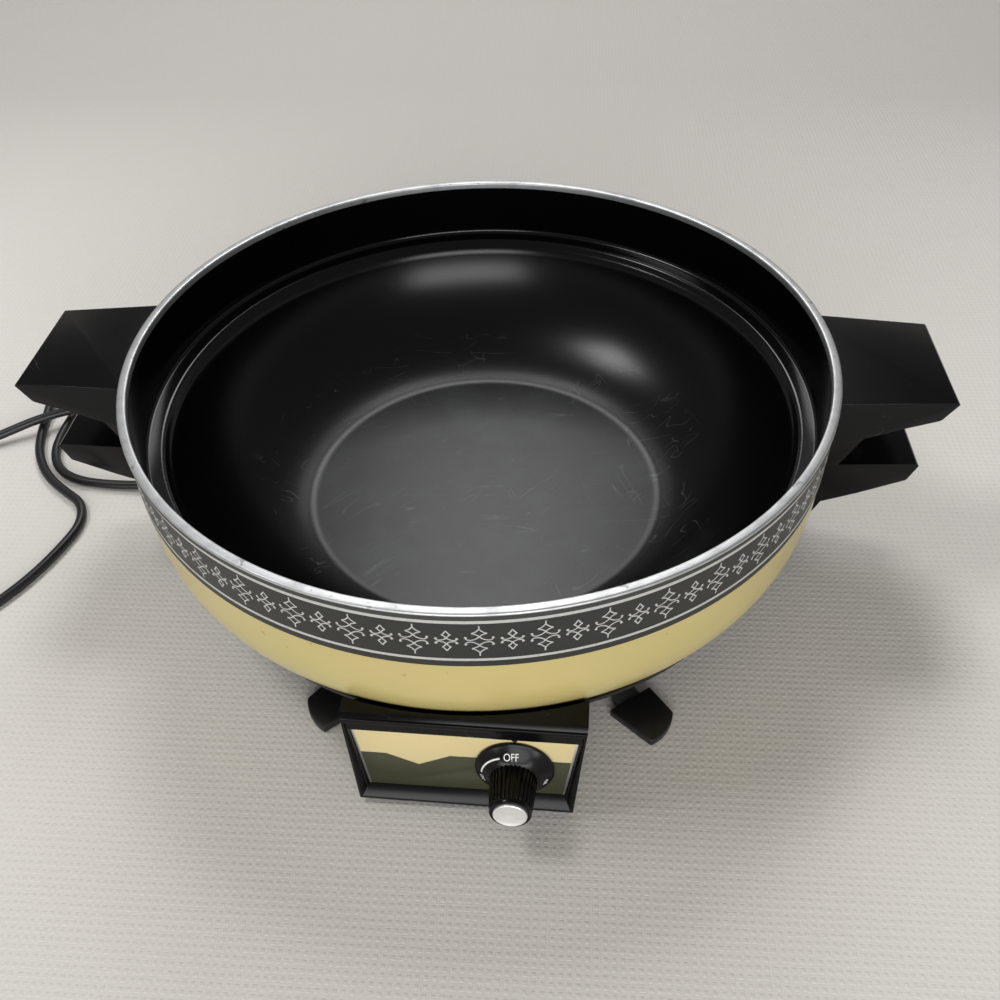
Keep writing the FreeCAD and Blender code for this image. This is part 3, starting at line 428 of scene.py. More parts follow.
MATERIALS = {}
RUBBER_GRAIN = (1300, 2, 0.00004, 0.3)
FINISHES = {
    "nonstick": (paint_nonstick,),
    "yellow_enamel": (paint_yellow,),
    "band_enamel": (paint_band,),
    "bare_aluminium": (paint_rim,),
    "phenolic": (paint_phenolic,),
    "printed_plate": (paint_plate,),
    "spun_aluminium": (paint_spun,),
    "black_enamel": (
        paint_plain, "base_enamel", (14, 14, 15), (24, 24, 25), 28, 0.3, 0.14, (700, 2, 0.00005, 0.25)
    ),
    "element_sheath": (
        paint_plain, "element_sheath", (78, 74, 70), (112, 92, 70), 18, 0.45, 0.2, (800, 2, 0.00005, 0.3), 0.7
    ),
    "white_ceramic": (
        paint_plain, "steatite", (226, 221, 208), (205, 199, 184), 900, 0.65, 0.1, (900, 3, 0.00006, 0.4)
    ),
    "foot_rubber": (paint_plain, "foot_moulding", (10, 10, 11), (22, 22, 23), 60, 0.34, 0.12, RUBBER_GRAIN),
    "cord_rubber": (paint_plain, "cord_vinyl", (12, 12, 13), (24, 24, 25), 60, 0.36, 0.12, RUBBER_GRAIN),
    "polished_steel": (paint_metal, "plated_steel", rgb(196, 196, 198), 0.24, (1, 1, 4), 900),
    # the straps join the pads to the base; their dull grey is also a painted shade, matching the shadowed
    # floor between pads and base
    "zinc_steel": (paint_metal, "zinc_strap", rgb(92, 92, 92), 0.46),
    "brass": (paint_metal, "nickelled_brass", rgb(196, 184, 150), 0.3),
    "band_print": (lambda: paint_print("band_print", chosen("print"), 0.1),),
    "dial_print": (paint_print, "dial_print", rgb(226, 226, 222)),
    # a painted reflection of the knob's grip on the plate, and the small pointer under it
    "dark_print": (paint_print, "dark_print", rgb(26, 24, 22)),
}


# ---- shapes

UP = Vector((0, 0, 1))
WHOLE = 2 * math.pi


def arc(start, end, radius, bulge, steps):
    """Points after start up to end on an arc; bulge 1 puts its centre left of the walk."""
    (x0, y0), (x1, y1) = start, end
    chord = math.hypot(x1 - x0, y1 - y0)
    away = math.sqrt(max(0.0, radius * radius - chord * chord / 4))
    left = (-(y1 - y0) / chord, (x1 - x0) / chord)
    cx = (x0 + x1) / 2 + left[0] * away * bulge
    cy = (y0 + y1) / 2 + left[1] * away * bulge
    first = math.atan2(y0 - cy, x0 - cx)
    last = math.atan2(y1 - cy, x1 - cx)
    turn = (last - first + math.pi) % (2 * math.pi) - math.pi
    places = [first + turn * step / steps for step in range(1, steps + 1)]
    return [(cx + radius * math.cos(a), cy + radius * math.sin(a)) for a in places]


def rounded(corners, radii, steps=4):
    """A closed outline with each corner rounded by its own radius."""
    points = []
    for place, (corner, radius) in enumerate(zip(corners, radii)):
        if not radius:
            points.append(corner)
            continue
        middle = Vector(corner)
        before = Vector(corners[place - 1]) - middle
        after = Vector(corners[(place + 1) % len(corners)]) - middle
        half = before.angle(after) / 2
        reach = min(radius / math.tan(half), before.length * 0.49, after.length * 0.49)
        first = middle + before.normalized() * reach
        last = middle + after.normalized() * reach
        for step in range(steps + 1):
            t = step / steps
            points.append(tuple(first * (1 - t) ** 2 + middle * 2 * t * (1 - t) + last * t * t))
    return points


def linked(name, data):
    """A new object in the scene."""
    thing = bpy.data.objects.new(name, data)
    bpy.context.scene.collection.objects.link(thing)
    return thing


def add_piece(name, mesh, slot, body, smooth=0.0, node=None, finish=None):
    """Links a finished mesh as a piece that rides on a body and may stand for a node."""
    thing = linked(name, mesh)
    mesh.materials.clear()
    mesh.materials.append(finish_of(finish or slot))
    if smooth:
        mesh.shade_smooth()
        mesh.set_sharp_from_angle(angle=math.radians(smooth))
    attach(thing, body)
    if node:
        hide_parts(node)
    return thing


def mesh_of(name, bm):
    """A mesh from a bmesh as it is."""
    mesh = bpy.data.meshes.new(name)
    bm.to_mesh(mesh)
    bm.free()
    return mesh


def skin(name, rings, closed=False):
    """Faces from each ring of points to the next; the last joins the first, or both ends are capped."""
    bm = bmesh.new()
    rings = [[bm.verts.new(spot) for spot in ring] for ring in rings]
    for low, high in zip(rings, rings[1:] + rings[:closed]):
        for step in range(max(len(low), len(high))):
            # a ring may be one point, which a face then holds once
            walk = ((low, step), (low, step + 1), (high, step + 1), (high, step))
            face = list(dict.fromkeys(ring[place % len(ring)] for ring, place in walk))
            if len(face) > 2:
                bm.faces.new(face)
    if not closed:
        bm.faces.new(rings[0][::-1])
        bm.faces.new(rings[-1])
    bmesh.ops.remove_doubles(bm, verts=bm.verts, dist=1e-7)
    bmesh.ops.recalc_face_normals(bm, faces=bm.faces)
    return mesh_of(name, bm)


def circle(count):
    """The cosine and sine of so many even steps round a circle."""
    turns = [WHOLE * step / count for step in range(count)]
    return [(math.cos(a), math.sin(a)) for a in turns]


def lathe(name, outline, segments, centre=Vector(), axis=UP):
    """A closed outline of (radius, height) in mm spun round an axis; a point on the axis stays one point."""
    turn = UP.rotation_difference(axis).to_matrix()
    rings = []
    for radius, height in outline:
        spots = circle(segments) if radius else [(0, 0)]
        rings.append([centre + turn @ mm(radius * c, radius * s, height) for c, s in spots])
    return skin(name, rings, True)


def settled(thing):
    """An object's mesh with its modifiers applied; the object itself goes."""
    graph = bpy.context.evaluated_depsgraph_get()
    mesh = bpy.data.meshes.new_from_object(thing.evaluated_get(graph), depsgraph=graph)
    bpy.data.objects.remove(thing)
    return mesh


def bevelled(mesh, width, steps):
    """The mesh with its edges over 30 degrees softened by a width in mm."""
    blank = linked("blank", mesh)
    soft = blank.modifiers.new("edges", "BEVEL")
    soft.width = mm(width)
    soft.segments = steps
    return settled(blank)


def dressed(node, slot, edge=0.25, steps=2, body="base"):
    """A CAD node's merged copy with soft edges, standing for that node."""
    bm = bmesh.new()
    bm.from_mesh(NODES[node].data)
    bmesh.ops.remove_doubles(bm, verts=bm.verts, dist=2e-6)
    bmesh.ops.dissolve_limit(bm, angle_limit=math.radians(0.6), verts=bm.verts, edges=bm.edges)
    mesh = mesh_of(node + "_dressed", bm)
    if edge:
        mesh = bevelled(mesh, edge, steps)
    return add_piece(node + "_dressed", mesh, slot, body, 38, node)


class Tree(Nodes):
    """Builds one Geometry Nodes tree that turns a seed mesh into another."""

    def __init__(self, name, **sockets):
        super().__init__(bpy.data.node_groups.new(name, "GeometryNodeTree"))
        face = self.tree.interface
        face.new_socket(name="Geometry", in_out="OUTPUT", socket_type="NodeSocketGeometry")
        for key, kind in {"Geometry": "Geometry", **sockets}.items():
            face.new_socket(name=key, in_out="INPUT", socket_type="NodeSocket" + kind)
        self.given = self.node("NodeGroupInput").outputs

    def take(self, name):
        """A named input's value inside the tree."""
        return Value(self, self.given[name])

    def copies(self, points, **inputs):
        """The seed at each point, as one mesh."""
        inputs.update(Points=points, Instance=self.take("Geometry"))
        made = self.value("GeometryNodeInstanceOnPoints", inputs)
        return self.value("GeometryNodeRealizeInstances", {0: made})

    def close(self, geometry):
        """Ends the tree."""
        self.node("NodeGroupOutput", {0: geometry})
        return self.tree


def band_tree():
    """Repeats a flat motif along a line and wraps the line round the band."""
    t = Tree("motifs_round_band", Count="Int", Radius="Float", Height="Float", Start="Float")
    count, radius, height, start = (t.take(name) for name in ("Count", "Radius", "Height", "Start"))
    pitch = t.vector(radius * WHOLE / count)
    line = t.value("GeometryNodeMeshLine", {"Count": count, "Offset": pitch}, mode="OFFSET")
    along_band, up, out = t.split(t.value("GeometryNodeInputPosition"))
    turn = along_band / radius + start
    out = radius + out
    place = t.vector(turn.maths("COSINE") * out, turn.maths("SINE") * out, up + height)
    return t.close(t.value("GeometryNodeSetPosition", {"Geometry": t.copies(line), "Position": place}))


def ring_tree():
    """Repeats a shape round the Z axis of its object."""
    t = Tree("copies_round_axis", Count="Int")
    count = t.take("Count")
    turn = t.value("GeometryNodeInputIndex") / count * WHOLE
    points = t.value("GeometryNodePoints", {"Count": count})
    return t.close(t.copies(points, Rotation=t.vector(z=turn)))


def repeated(mesh, tree, **inputs):
    """A seed mesh run through a Geometry Nodes tree."""
    blank = linked("blank", mesh)
    nodes = blank.modifiers.new("copies", "NODES")
    nodes.node_group = tree
    for item in tree.interface.items_tree:
        if item.name in inputs:
            nodes[item.identifier] = inputs[item.name]
    return settled(blank)


# ---- band ornament

BAND_RADIUS, BAND_MIDDLE = 155.6, 99.5
PEN = 0.5
# the motifs' plan level over the band, and how far their strokes reach down into it
PRINT_LEVEL, PRINT_DEPTH = 0.03, 0.09


def bezier(a, b, c, d, steps=8):
    """Points on a cubic curve."""
    points = []
    for step in range(steps + 1):
        t = step / steps
        s = 1 - t
        points.append([
            p * s ** 3 + 3 * q * s * s * t + 3 * u * s * t * t + v * t ** 3 for p, q, u, v in zip(a, b, c, d)
        ])
    return points


def add_stroke(bm, points, level):
    """A flat stroke of the pen along points in mm."""
    sides = []
    for place, point in enumerate(points):
        before = Vector(points[max(place - 1, 0)])
        after = Vector(points[min(place + 1, len(points) - 1)])
        forward = (after - before).normalized()
        aside = Vector((-forward.y, forward.x)) * PEN / 2
        pair = (Vector(point) + aside, Vector(point) - aside)
        sides.append([bm.verts.new(mm(*spot, level)) for spot in pair])
    for (a, b), (c, d) in zip(sides, sides[1:]):
        bm.faces.new((a, b, d, c))


def add_motif(bm, middle, wide, tall, spike, broad):
    """One scroll motif: two curved lozenges, one above the other, with four curled arms."""
    strokes = []
    dots = []
    half = wide / 2
    top = tall / 2
    head = top - spike
    foot = top * 0.28
    widest = (head + foot) / 2 + top * 0.02
    waist = widest - top * 0.05
    tuck = foot + top * 0.16
    reach = half * broad
    inner = reach * 0.36
    for up in (1, -1):
        for side in (1, -1):
            # a lozenge's side: from its head out to the waist, and in again to its foot; then the arm,
            # which swings out from the foot and curls back to a ball
            for curve in (
                ((0, head), (inner, head - top * 0.18), (reach * 0.6, widest), (reach, waist)),
                ((reach, waist), (reach * 0.5, widest - top * 0.12), (inner * 0.9, tuck), (0, foot)),
                ((0, foot), (half * 0.32, top * 0.02), (half * 0.84, -top * 0.02), (half * 0.93, top * 0.19)),
            ):
                strokes.append(bezier(*((side * x, up * y) for x, y in curve)))
            dots.append((side * half * 0.91, up * top * 0.22))
        if spike:
            strokes.append([(0, up * head), (0, up * (top - spike * 0.5)), (0, up * top)])
    for number, points in enumerate(strokes):
        # strokes that cross stand at slightly different levels
        add_stroke(bm, [(middle + x, y) for x, y in points], PRINT_LEVEL + 0.002 * (number % 5))
    for x, y in dots:
        spots = [(middle + x + PEN * 1.05 * c, y + PEN * 1.05 * s) for c, s in circle(10)]
        bm.faces.new([bm.verts.new(mm(*spot, PRINT_LEVEL + 0.012)) for spot in spots])


def motif_pair(pitch):
    """The large and the small motif, side by side, as one flat seed mesh with a little thickness."""
    bm = bmesh.new()
    add_motif(bm, 0, 10.4, 16.2, 1.7, 0.52)
    add_motif(bm, pitch / 2, 8.0, 10.8, 0.0, 0.4)
    made = bmesh.ops.extrude_face_region(bm, geom=bm.faces[:])
    sunk = [part for part in made["geom"] if isinstance(part, bmesh.types.BMVert)]
    bmesh.ops.translate(bm, verts=sunk, vec=mm(0, 0, -PRINT_DEPTH))
    bmesh.ops.recalc_face_normals(bm, faces=bm.faces)
    return mesh_of("motif_pair", bm)


# ---- settings


def colour_setting(name, description, *parts):
    """A colour property whose default is written as the screen shows it."""
    settings = {"name": name, "description": description, "default": rgb(*parts)}
    return FloatVectorProperty(subtype="COLOR", size=4, **settings)


class SkilletSizes(bpy.types.PropertyGroup):
    """Sizes that the pieces are made from."""

    motif_pairs: IntProperty(
        name="Motif pairs", description="Pairs of motifs round the band", default=43, min=12
    )
    motif_start: FloatProperty(
        name="Motif start", description="Where the first large motif stands, in degrees", default=-85.75
    )
    knob_ribs: IntProperty(name="Knob ribs", description="Ribs round the grip of the knob", default=30, min=8)
    edge: FloatProperty(
        name="Moulded edge", description="Softness of moulded edges", default=0.0007, unit="LENGTH"
    )
    pan_detail: IntProperty(name="Pan detail", description="Steps round the pan", default=288, min=48)


class SkilletColours(bpy.types.PropertyGroup):
    """Colours of the main finishes."""

    enamel: colour_setting("Enamel", "Outside of the pan", 178, 164, 106)
    print: colour_setting("Print", "Lines and motifs on the band", 178, 178, 175)
    cloth: colour_setting("Cloth", "Floor and backdrop", 224, 220, 214)


class Maker(bpy.types.Operator):
    """Shared options of the skillet's operators."""

    bl_options = {"REGISTER", "UNDO"}

    @property
    def sizes(self):
        """The size settings of the scene."""
        return bpy.context.scene.skillet_sizes


# ---- stage

CLOTH_REACH, CLOTH_FRONT, CLOTH_BACK = 6.0, -2.2, 1.35
CLOTH_BEND, CLOTH_RISE, CLOTH_STEPS = 0.5, 0.3, 60
CLOTH_CHECK = 0.0032

# each lamp's place, its width and height in metres, and its power in watts
LAMPS = {
    "back_lamp": ((-0.12, 1.5, 1.6), 0.65, 0.55, 7.5),
    "high_lamp": ((-0.12, 1.07, 1.92), 0.6, 0.35, 9.0),
    "front_lamp": ((0.28, -1.65, 0.72), 1.4, 0.45, 11.5),
    "side_lamp": ((-0.85, 0.0, 1.45), 0.45, 0.35, 6.0),
    "low_fill": ((0.0, -1.3, 0.12), 1.6, 0.16, 8.0),
}

# the camera's place in mm and its outlook, worked out from the pan's circles in the photograph
CAMERA_PLACE = (37.3, -366.9, 370.2)
CAMERA_FORWARD = (-0.0588, 0.7194, -0.6921)
CAMERA_UP = (-0.0264, 0.6919, 0.7215)
CAMERA_LENS = 36.0


class SKILLET_OT_stage(Maker):
    """Pale cloth floor and backdrop, soft lamps and the camera."""

    bl_idname = "skillet.stage"
    bl_label = "Stage"

    def execute(self, context):
        """Makes the floor, the light and the camera."""
        profile = []
        for step in range(CLOTH_STEPS + 1):
            share = step / CLOTH_STEPS
            if share < 0.4:
                profile.append((CLOTH_FRONT + (CLOTH_BACK - CLOTH_FRONT) * share / 0.4, 0.0))
            elif share < 0.8:
                a = (share - 0.4) / 0.4 * math.pi / 2
                profile.append((CLOTH_BACK + CLOTH_BEND * math.sin(a), CLOTH_BEND * (1 - math.cos(a))))
            else:
                profile.append((CLOTH_BACK + CLOTH_BEND, CLOTH_BEND + (share - 0.8) / 0.2 * CLOTH_RISE))
        spots = [(across, y, z) for across in (-CLOTH_REACH, CLOTH_REACH) for y, z in profile]
        row = len(profile)
        mesh = bpy.data.meshes.new("cloth_floor")
        mesh.from_pydata(spots, [], [(low, low + row, low + row + 1, low + 1) for low in range(CLOTH_STEPS)])
        mesh.shade_smooth()
        linked("cloth_floor", mesh)
        mesh.materials.append(self.cloth())
        self.lights(context.scene)
        self.camera(context.scene)
        return {"FINISHED"}

    def cloth(self):
        """Plain woven cloth with a small raised check, darker at the back, with painted light making the
        sides paler.
        """
        p = Paint("table_cloth")
        x, y = p.split(p.where())[:2]
        rows, columns = ((part * (WHOLE / CLOTH_CHECK)).maths("SINE").above(0.1, 1.0) for part in (x, y))
        dots = rows * columns
        base = chosen("cloth")
        tone = p.mix(p.noise(3.0, 2) * 0.4 + dots * 0.3, base, dimmed(base, 0.9))
        tone = p.mix(y.above(0.35, 0.5), tone, rgb(207, 203, 198))
        # painted light: the floor left and right of the pan, towards the front, is made paler as if more
        # brightly lit
        sides = x.absolute().above(0.24, 0.3) * y.below(0.3, 0.5)
        tone = p.mix(sides * (1 - dots * 0.12), tone, rgb(246, 242, 237))
        threads = p.noise(1500, 2, stretch=(1, 0.15, 1)) + p.noise(1500, 2, stretch=(0.15, 1, 1))
        height = dots + threads + p.noise(2600, 2) * 0.4
        return p.finish(Base_Color=tone, Roughness=0.8, Normal=p.bump(height, 0.0002, 0.5))

    def lights(self, scene):
        """Five soft lamps, and a world pale at the horizon, dim overhead and brighter high up behind."""
        scene.world = scene.world or bpy.data.worlds.new("room")
        scene.world.use_nodes = True
        room = Nodes(scene.world.node_tree)
        across, deep, height = room.split(room.where("Generated"))
        behind = deep.above(0.5, 0.3) * height.above(0.45, 0.3) * across.absolute().below(0.2, 0.3)
        ground = room.tree.nodes["Background"].inputs
        room.link(ground["Color"], (1.0, 0.995, 0.985, 1.0))
        room.link(ground["Strength"], 0.19 + height.below(0.22, 0.3) * 0.3 + behind * 0.2)
        for name, (spot, wide, tall, power) in LAMPS.items():
            lamp = bpy.data.lights.new(name, "AREA")
            lamp.shape = "RECTANGLE"
            lamp.size = wide
            lamp.size_y = tall
            lamp.energy = power
            thing = linked(name, lamp)
            thing.location = spot
            thing.rotation_euler = (-Vector(spot)).to_track_quat("-Z", "Y").to_euler()

    def camera(self, scene):
        """The photograph's camera."""
        lens = bpy.data.cameras.new("photo_camera")
        lens.lens = CAMERA_LENS
        lens.sensor_width = 36.0
        lens.sensor_fit = "HORIZONTAL"
        forward = Vector(CAMERA_FORWARD).normalized()
        up = Vector(CAMERA_UP)
        up = (up - forward * up.dot(forward)).normalized()
        turn = Matrix((forward.cross(up), up, -forward)).transposed().to_4x4()
        turn.translation = mm(*CAMERA_PLACE)
        scene.camera = linked("photo_camera", lens)
        scene.camera.matrix_world = turn


# ---- cord

CORD_RADIUS = 2.5
RELIEF_TIP = (-145.83, 18.0, 7.6)
COIL_MIDDLE = (-321, -2.5)


def laid(*points):
    """Points of the cord's line; one without a height lies on the floor."""
    return [(*point, CORD_RADIUS)[:3] for point in points]


def coil_points():
    """The put-away coil's own line: inwards on the floor, then outwards on top."""
    first = math.radians(120)
    total = math.radians(105 + 360 * 4)
    pitch = 5.5
    steps = 76
    points = []
    for step in range(steps + 1):
        turned = total * step / steps
        inward = min(turned, total - turned)
        out = 32.3 - pitch * inward / WHOLE
        rise = min(1.0, max(0.0, (turned - (total - math.pi) / 2) / math.pi))
        level = CORD_RADIUS + pitch * (1 - math.cos(math.pi * rise)) / 2
        a = first + turned
        points.append((COIL_MIDDLE[0] + out * math.cos(a), COIL_MIDDLE[1] + out * math.sin(a), level))
    return points


NEAR = laid(
    RELIEF_TIP, (-159.8, 18, 7.6), (-174.8, 18.3, 5.2), (-194, 18.9, 2.8), (-210, 19.6), (-226, 21.8),
    (-239.5, 29), (-248.5, 43), (-251, 61), (-250.6, 77), (-250, 92), (-249.5, 106), (-243.8, 119.8),
    (-230, 125.5), (-216.2, 119.8), (-210.5, 106), (-216.2, 92.2, 3.1), (-229.5, 84.6, 5.9),
    (-247, 76, 9.1), (-265, 66, 9.0), (-283, 55.5, 5.7), (-301, 45, 2.9),
)
FAR = laid(
    (-306, -60.5, 3.7), (-289, -76.5), (-268, -88), (-248, -83), (-235, -68), (-224.5, -50), (-217, -30),
    (-212.5, -11), (-218, 4.5), (-232, 14), (-246, 25.5), (-257, 42), (-262.6, 58.5), (-265.4, 74, 2.9),
    (-267, 89, 5.5), (-267.8, 102, 5.5),
)
# the plug from the cord to its blades: distance along, half width and half height, in mm
PLUG_STATIONS = [
    (0.0, 4.0, 4.0), (0.6, 4.4, 4.6), (6.0, 5.4, 5.0), (12.0, 6.6, 5.3), (17.0, 8.6, 5.4), (21.0, 11.6, 5.45),
    (29.0, 11.9, 5.45), (29.7, 11.6, 5.2), (30.0, 10.9, 4.8),
]
PLUG_LEVEL = 5.5


class SKILLET_OT_cord(Maker):
    """Supply cord with its ribbed strain relief, put-away coil and moulded plug."""

    bl_idname = "skillet.cord"
    bl_label = "Cord and plug"

    def execute(self, context):
        """Makes the cord as one smooth line from the base to the plug."""
        points = NEAR + coil_points() + FAR
        curve = bpy.data.curves.new("supply_cord", "CURVE")
        curve.dimensions = "3D"
        curve.bevel_depth = mm(CORD_RADIUS)
        curve.bevel_resolution = 4
        curve.use_fill_caps = True
        spline = curve.splines.new("NURBS")
        spline.points.add(len(points) - 1)
        for spot, point in zip(spline.points, points):
            spot.co = (*mm(*point), 1.0)
        spline.order_u = 3
        spline.use_endpoint_u = True
        spline.resolution_u = 6
        cord = linked("supply_cord", curve)
        curve.materials.append(finish_of("cord_rubber"))
        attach(cord, "base")
        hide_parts("cord_near", "cord_coil", "cord_far")

        relief = self.relief()
        plug = self.plug(Vector(points[-1]), Vector(points[-1]) - Vector(points[-2]))
        blades = dressed("plug_blades", "brass", 0.3)
        mm(*RELIEF_TIP)
        return {"FINISHED"}

    def relief(self):
        """A tapered relief with moulded rings."""
        outline = [(0, 0), (6.0, 0)]
        length = 24.0
        for ring in range(6):
            low = length * (0.16 + 0.13 * ring)
            size = 6.0 - 2.2 * low / length
            for less, further in ((0, 0), (0.55, 0.7), (0.6, 1.5), (0.2, 2.2)):
                outline.append((size - less, low + further))
        outline += [(3.8, length - 0.4), (3.5, length), (0, length)]
        tip, aside, level = RELIEF_TIP
        mesh = lathe("strain_relief_rings", outline, 32, mm(tip + length, aside, level), Vector((-1, 0, 0)))
        return add_piece("strain_relief_rings", mesh, "cord_rubber", "base", 40, "strain_relief")

    def plug(self, tail, heading):
        """A flat moulded plug with a waisted body, its rings between an oval and a box."""
        heading.z = 0
        heading.normalize()
        aside = Vector((-heading.y, heading.x, 0))
        rings = []
        for forward, wide, tall in PLUG_STATIONS:
            ring = []
            for c, s in circle(32):
                spot = tail + heading * forward + aside * (math.copysign(abs(c) ** 0.55, c) * wide)
                ring.append(mm(spot.x, spot.y, math.copysign(abs(s) ** 0.6, s) * tall + PLUG_LEVEL))
            rings.append(ring)
        return add_piece("moulded_plug", skin("moulded_plug", rings), "cord_rubber", "base", 50, "plug_body")


# ---- pan


class SKILLET_OT_pan(Maker):
    """Pan: black lining, yellow enamelled outside and bare turned edge."""

    bl_idname = "skillet.pan"
    bl_label = "Pan"

    def execute(self, context):
        """Spins the pan's three walls round its axis."""
        lining = [
            (152.2, 111.0), (152.2, 86.4), (151.9, 85.2), (151.2, 84.1), (150.0, 83.75), (145.4, 84.0),
            (144.2, 83.7), (143.4, 83.0), (142.5, 81.4), (141.7, 80.7), (140.8, 79.8),
            *arc((140.8, 79.8), (88.9, 28.0), 74.1, -1, 24),
            (88.1, 27.75), (87.2, 27.46), (86.2, 27.22), (85.2, 27.07), (84.2, 27.01), (83.0, 27.0),
            (70.0, 27.0), (35.0, 27.0), (0, 27.0), (0, 21.5), (84.0, 21.5), (90.0, 25.6),
            *arc((90.0, 25.6), (143.2, 79.8), 54.4, 1, 16),
            (146.4, 81.2), (153.6, 81.2), (153.6, 111.0),
        ]
        outside = [
            (94.0, 22.0), (105.7, 22.0),
            *arc((105.7, 22.0), (155.0, 71.3), 49.3, 1, 24),
            (155.0, 90.0), (155.0, 111.0), (153.7, 111.0), (153.6, 71.3),
            *arc((153.6, 71.3), (105.7, 23.4), 47.9, -1, 24),
            (94.0, 23.4),
        ]
        edge = rounded([(152.2, 110.8), (156.1, 110.8), (156.1, 114.0), (152.2, 114.0)], [0, 0.25, 0.9, 0.9])
        for name, outline, slot, smooth, node in (
            ("pan_lining", lining, "nonstick", 50, "pan_liner"),
            ("pan_outside", outside, "yellow_enamel", 50, "pan_shell"),
            ("turned_edge", edge, "bare_aluminium", 60, "pan_rim"),
        ):
            add_piece(name, lathe(name, outline, self.sizes.pan_detail), slot, "pan", smooth, node)
        return {"FINISHED"}


class SKILLET_OT_band(Maker):
    """Grey band with two pale lines and alternating scroll motifs."""

    bl_idname = "skillet.band"
    bl_label = "Band"

    def execute(self, context):
        """Spins the band and wraps the printing round it."""
        steps = self.sizes.pan_detail
        ground = [
            (155.0, 85.2), (155.5, 85.2), (155.6, 85.35), (155.6, 110.3), (155.5, 110.4), (155.0, 110.4),
        ]
        add_piece("band_ground", lathe("band_ground", ground, steps), "band_enamel", "pan", 30, "pan_band")
        for name, low, high in (("band_upper_line", 108.7, 110.2), ("band_lower_line", 88.5, 89.8)):
            line = lathe(name, [(155.58, low), (155.66, low), (155.66, high), (155.58, high)], steps)
            add_piece(name, line, "band_enamel", "pan", 30, finish="band_print")

        pairs = self.sizes.motif_pairs
        motifs = repeated(
            motif_pair(WHOLE * BAND_RADIUS / pairs),
            band_tree(),
            Count=pairs,
            Radius=mm(BAND_RADIUS),
            Height=mm(BAND_MIDDLE),
            Start=math.radians(self.sizes.motif_start),
        )
        add_piece("band_motifs", motifs, "band_enamel", "pan", finish="band_print")
        return {"FINISHED"}


class SKILLET_OT_pan_handles(Maker):
    """Two broad phenolic handles on the pan, their steel straps and screws."""

    bl_idname = "skillet.pan_handles"
    bl_label = "Pan handles"

    def execute(self, context):
        """Softens the handles' edges and dresses their fixings."""
        for side in ("right", "left"):
            dressed("pan_handle_" + side, "phenolic", self.sizes.edge / MM, 3, "pan")
            dressed("pan_handle_bracket_" + side, "polished_steel", body="pan")
            dressed("pan_handle_screw_" + side, "polished_steel", 0.3, body="pan")
        return {"FINISHED"}


# ---- base


class SKILLET_OT_base(Maker):
    """Black base dish with its reflector, element, sensor and rests, and its two lower handles."""

    bl_idname = "skillet.base"
    bl_label = "Base and heater"

    def execute(self, context):
        """Spins the dish and dresses the base's other solids."""
        corners = [
            (0, 7.4), (124.5, 7.4), (140.0, 29.4), (140.0, 31.0),
            (138.4, 31.0), (137.8, 29.4), (122.9, 9.0), (0, 9.0),
        ]
        dish = rounded(corners, [0, 3.0, 0.4, 0.4, 0.4, 0.4, 2.4, 0])
        add_piece("dish", lathe("dish", dish, self.sizes.pan_detail), "black_enamel", "base", 40, "base_dish")
        for node, slot, *edge in (
            ("heat_reflector", "polished_steel"),
            ("pan_rests", "black_enamel"),
            ("heat_sensor", "polished_steel"),
            ("element_clips", "polished_steel"),
            ("heating_element", "element_sheath", 0),
            ("terminal_block", "white_ceramic"),
            ("base_handle_screw_right", "polished_steel"),
            ("base_handle_screw_left", "polished_steel"),
        ):
            dressed(node, slot, *edge)
        for side in ("right", "left"):
            dressed("base_handle_" + side, "phenolic", self.sizes.edge / MM, 3)
        return {"FINISHED"}


class SKILLET_OT_feet(Maker):
    """Steel straps, their dull grey also a painted shade like the shadowed floor beside them, with moulded
    foot pads and rivets.
    """

    bl_idname = "skillet.feet"
    bl_label = "Feet"

    def execute(self, context):
        """Dresses the straps, pads and rivets."""
        for corner in ("front_right", "front_left", "rear_right", "rear_left"):
            dressed("leg_" + corner, "zinc_steel", 0.3)
            dressed("foot_pad_" + corner, "foot_rubber", 0.9, 3)
        dressed("leg_rivets", "zinc_steel", 0.4)
        return {"FINISHED"}


# ---- control box and knob

# the knob's skirt: its foot's radius and height, and its rise for each mm inwards; then the print's thickness
SKIRT_RADIUS, SKIRT_LEVEL, SKIRT_SLOPE = 15.2, 0.9, 4.1 / (15.2 - 10.0)
INK = 0.05
# the letters' width against the font's, and how much each stroke is thickened
LETTER_WIDTH, LETTER_WEIGHT = 0.82, 0.02

# words, dial angle, size and distance from the axis
DIAL = [
    ("OFF", 95, 4.2, 11.4), ("200", 196, 2.7, 12.8), ("250", 232, 2.7, 12.8),
    ("300", 268, 2.7, 12.8), ("350", 304, 2.7, 12.8), ("400", 344, 2.7, 12.8),
]
# the pale sweep: its first dial angle and its turn in so many steps
SWEEP_START, SWEEP_TURN, SWEEP_STEPS = 118, 62, 24
# its inner radius at the start, its width and how far each step drifts out
SWEEP_RADIUS, SWEEP_WIDTH, SWEEP_DRIFT = 11.3, 0.55, 0.05


def flat_text(words, size, centre, right, up):
    """Words as thin solid letters, a little condensed, lying on a plane and centred on a point."""
    curve = bpy.data.curves.new("dial_" + words, "FONT")
    curve.body = words
    curve.size = mm(size)
    curve.align_x = "CENTER"
    curve.align_y = "CENTER"
    curve.offset = mm(LETTER_WEIGHT)
    curve.extrude = mm(INK)
    mesh = settled(linked("blank", curve))
    turn = Matrix((right * LETTER_WIDTH, up, right.cross(up))).transposed().to_4x4()
    turn.translation = centre
    mesh.transform(turn)
    return mesh


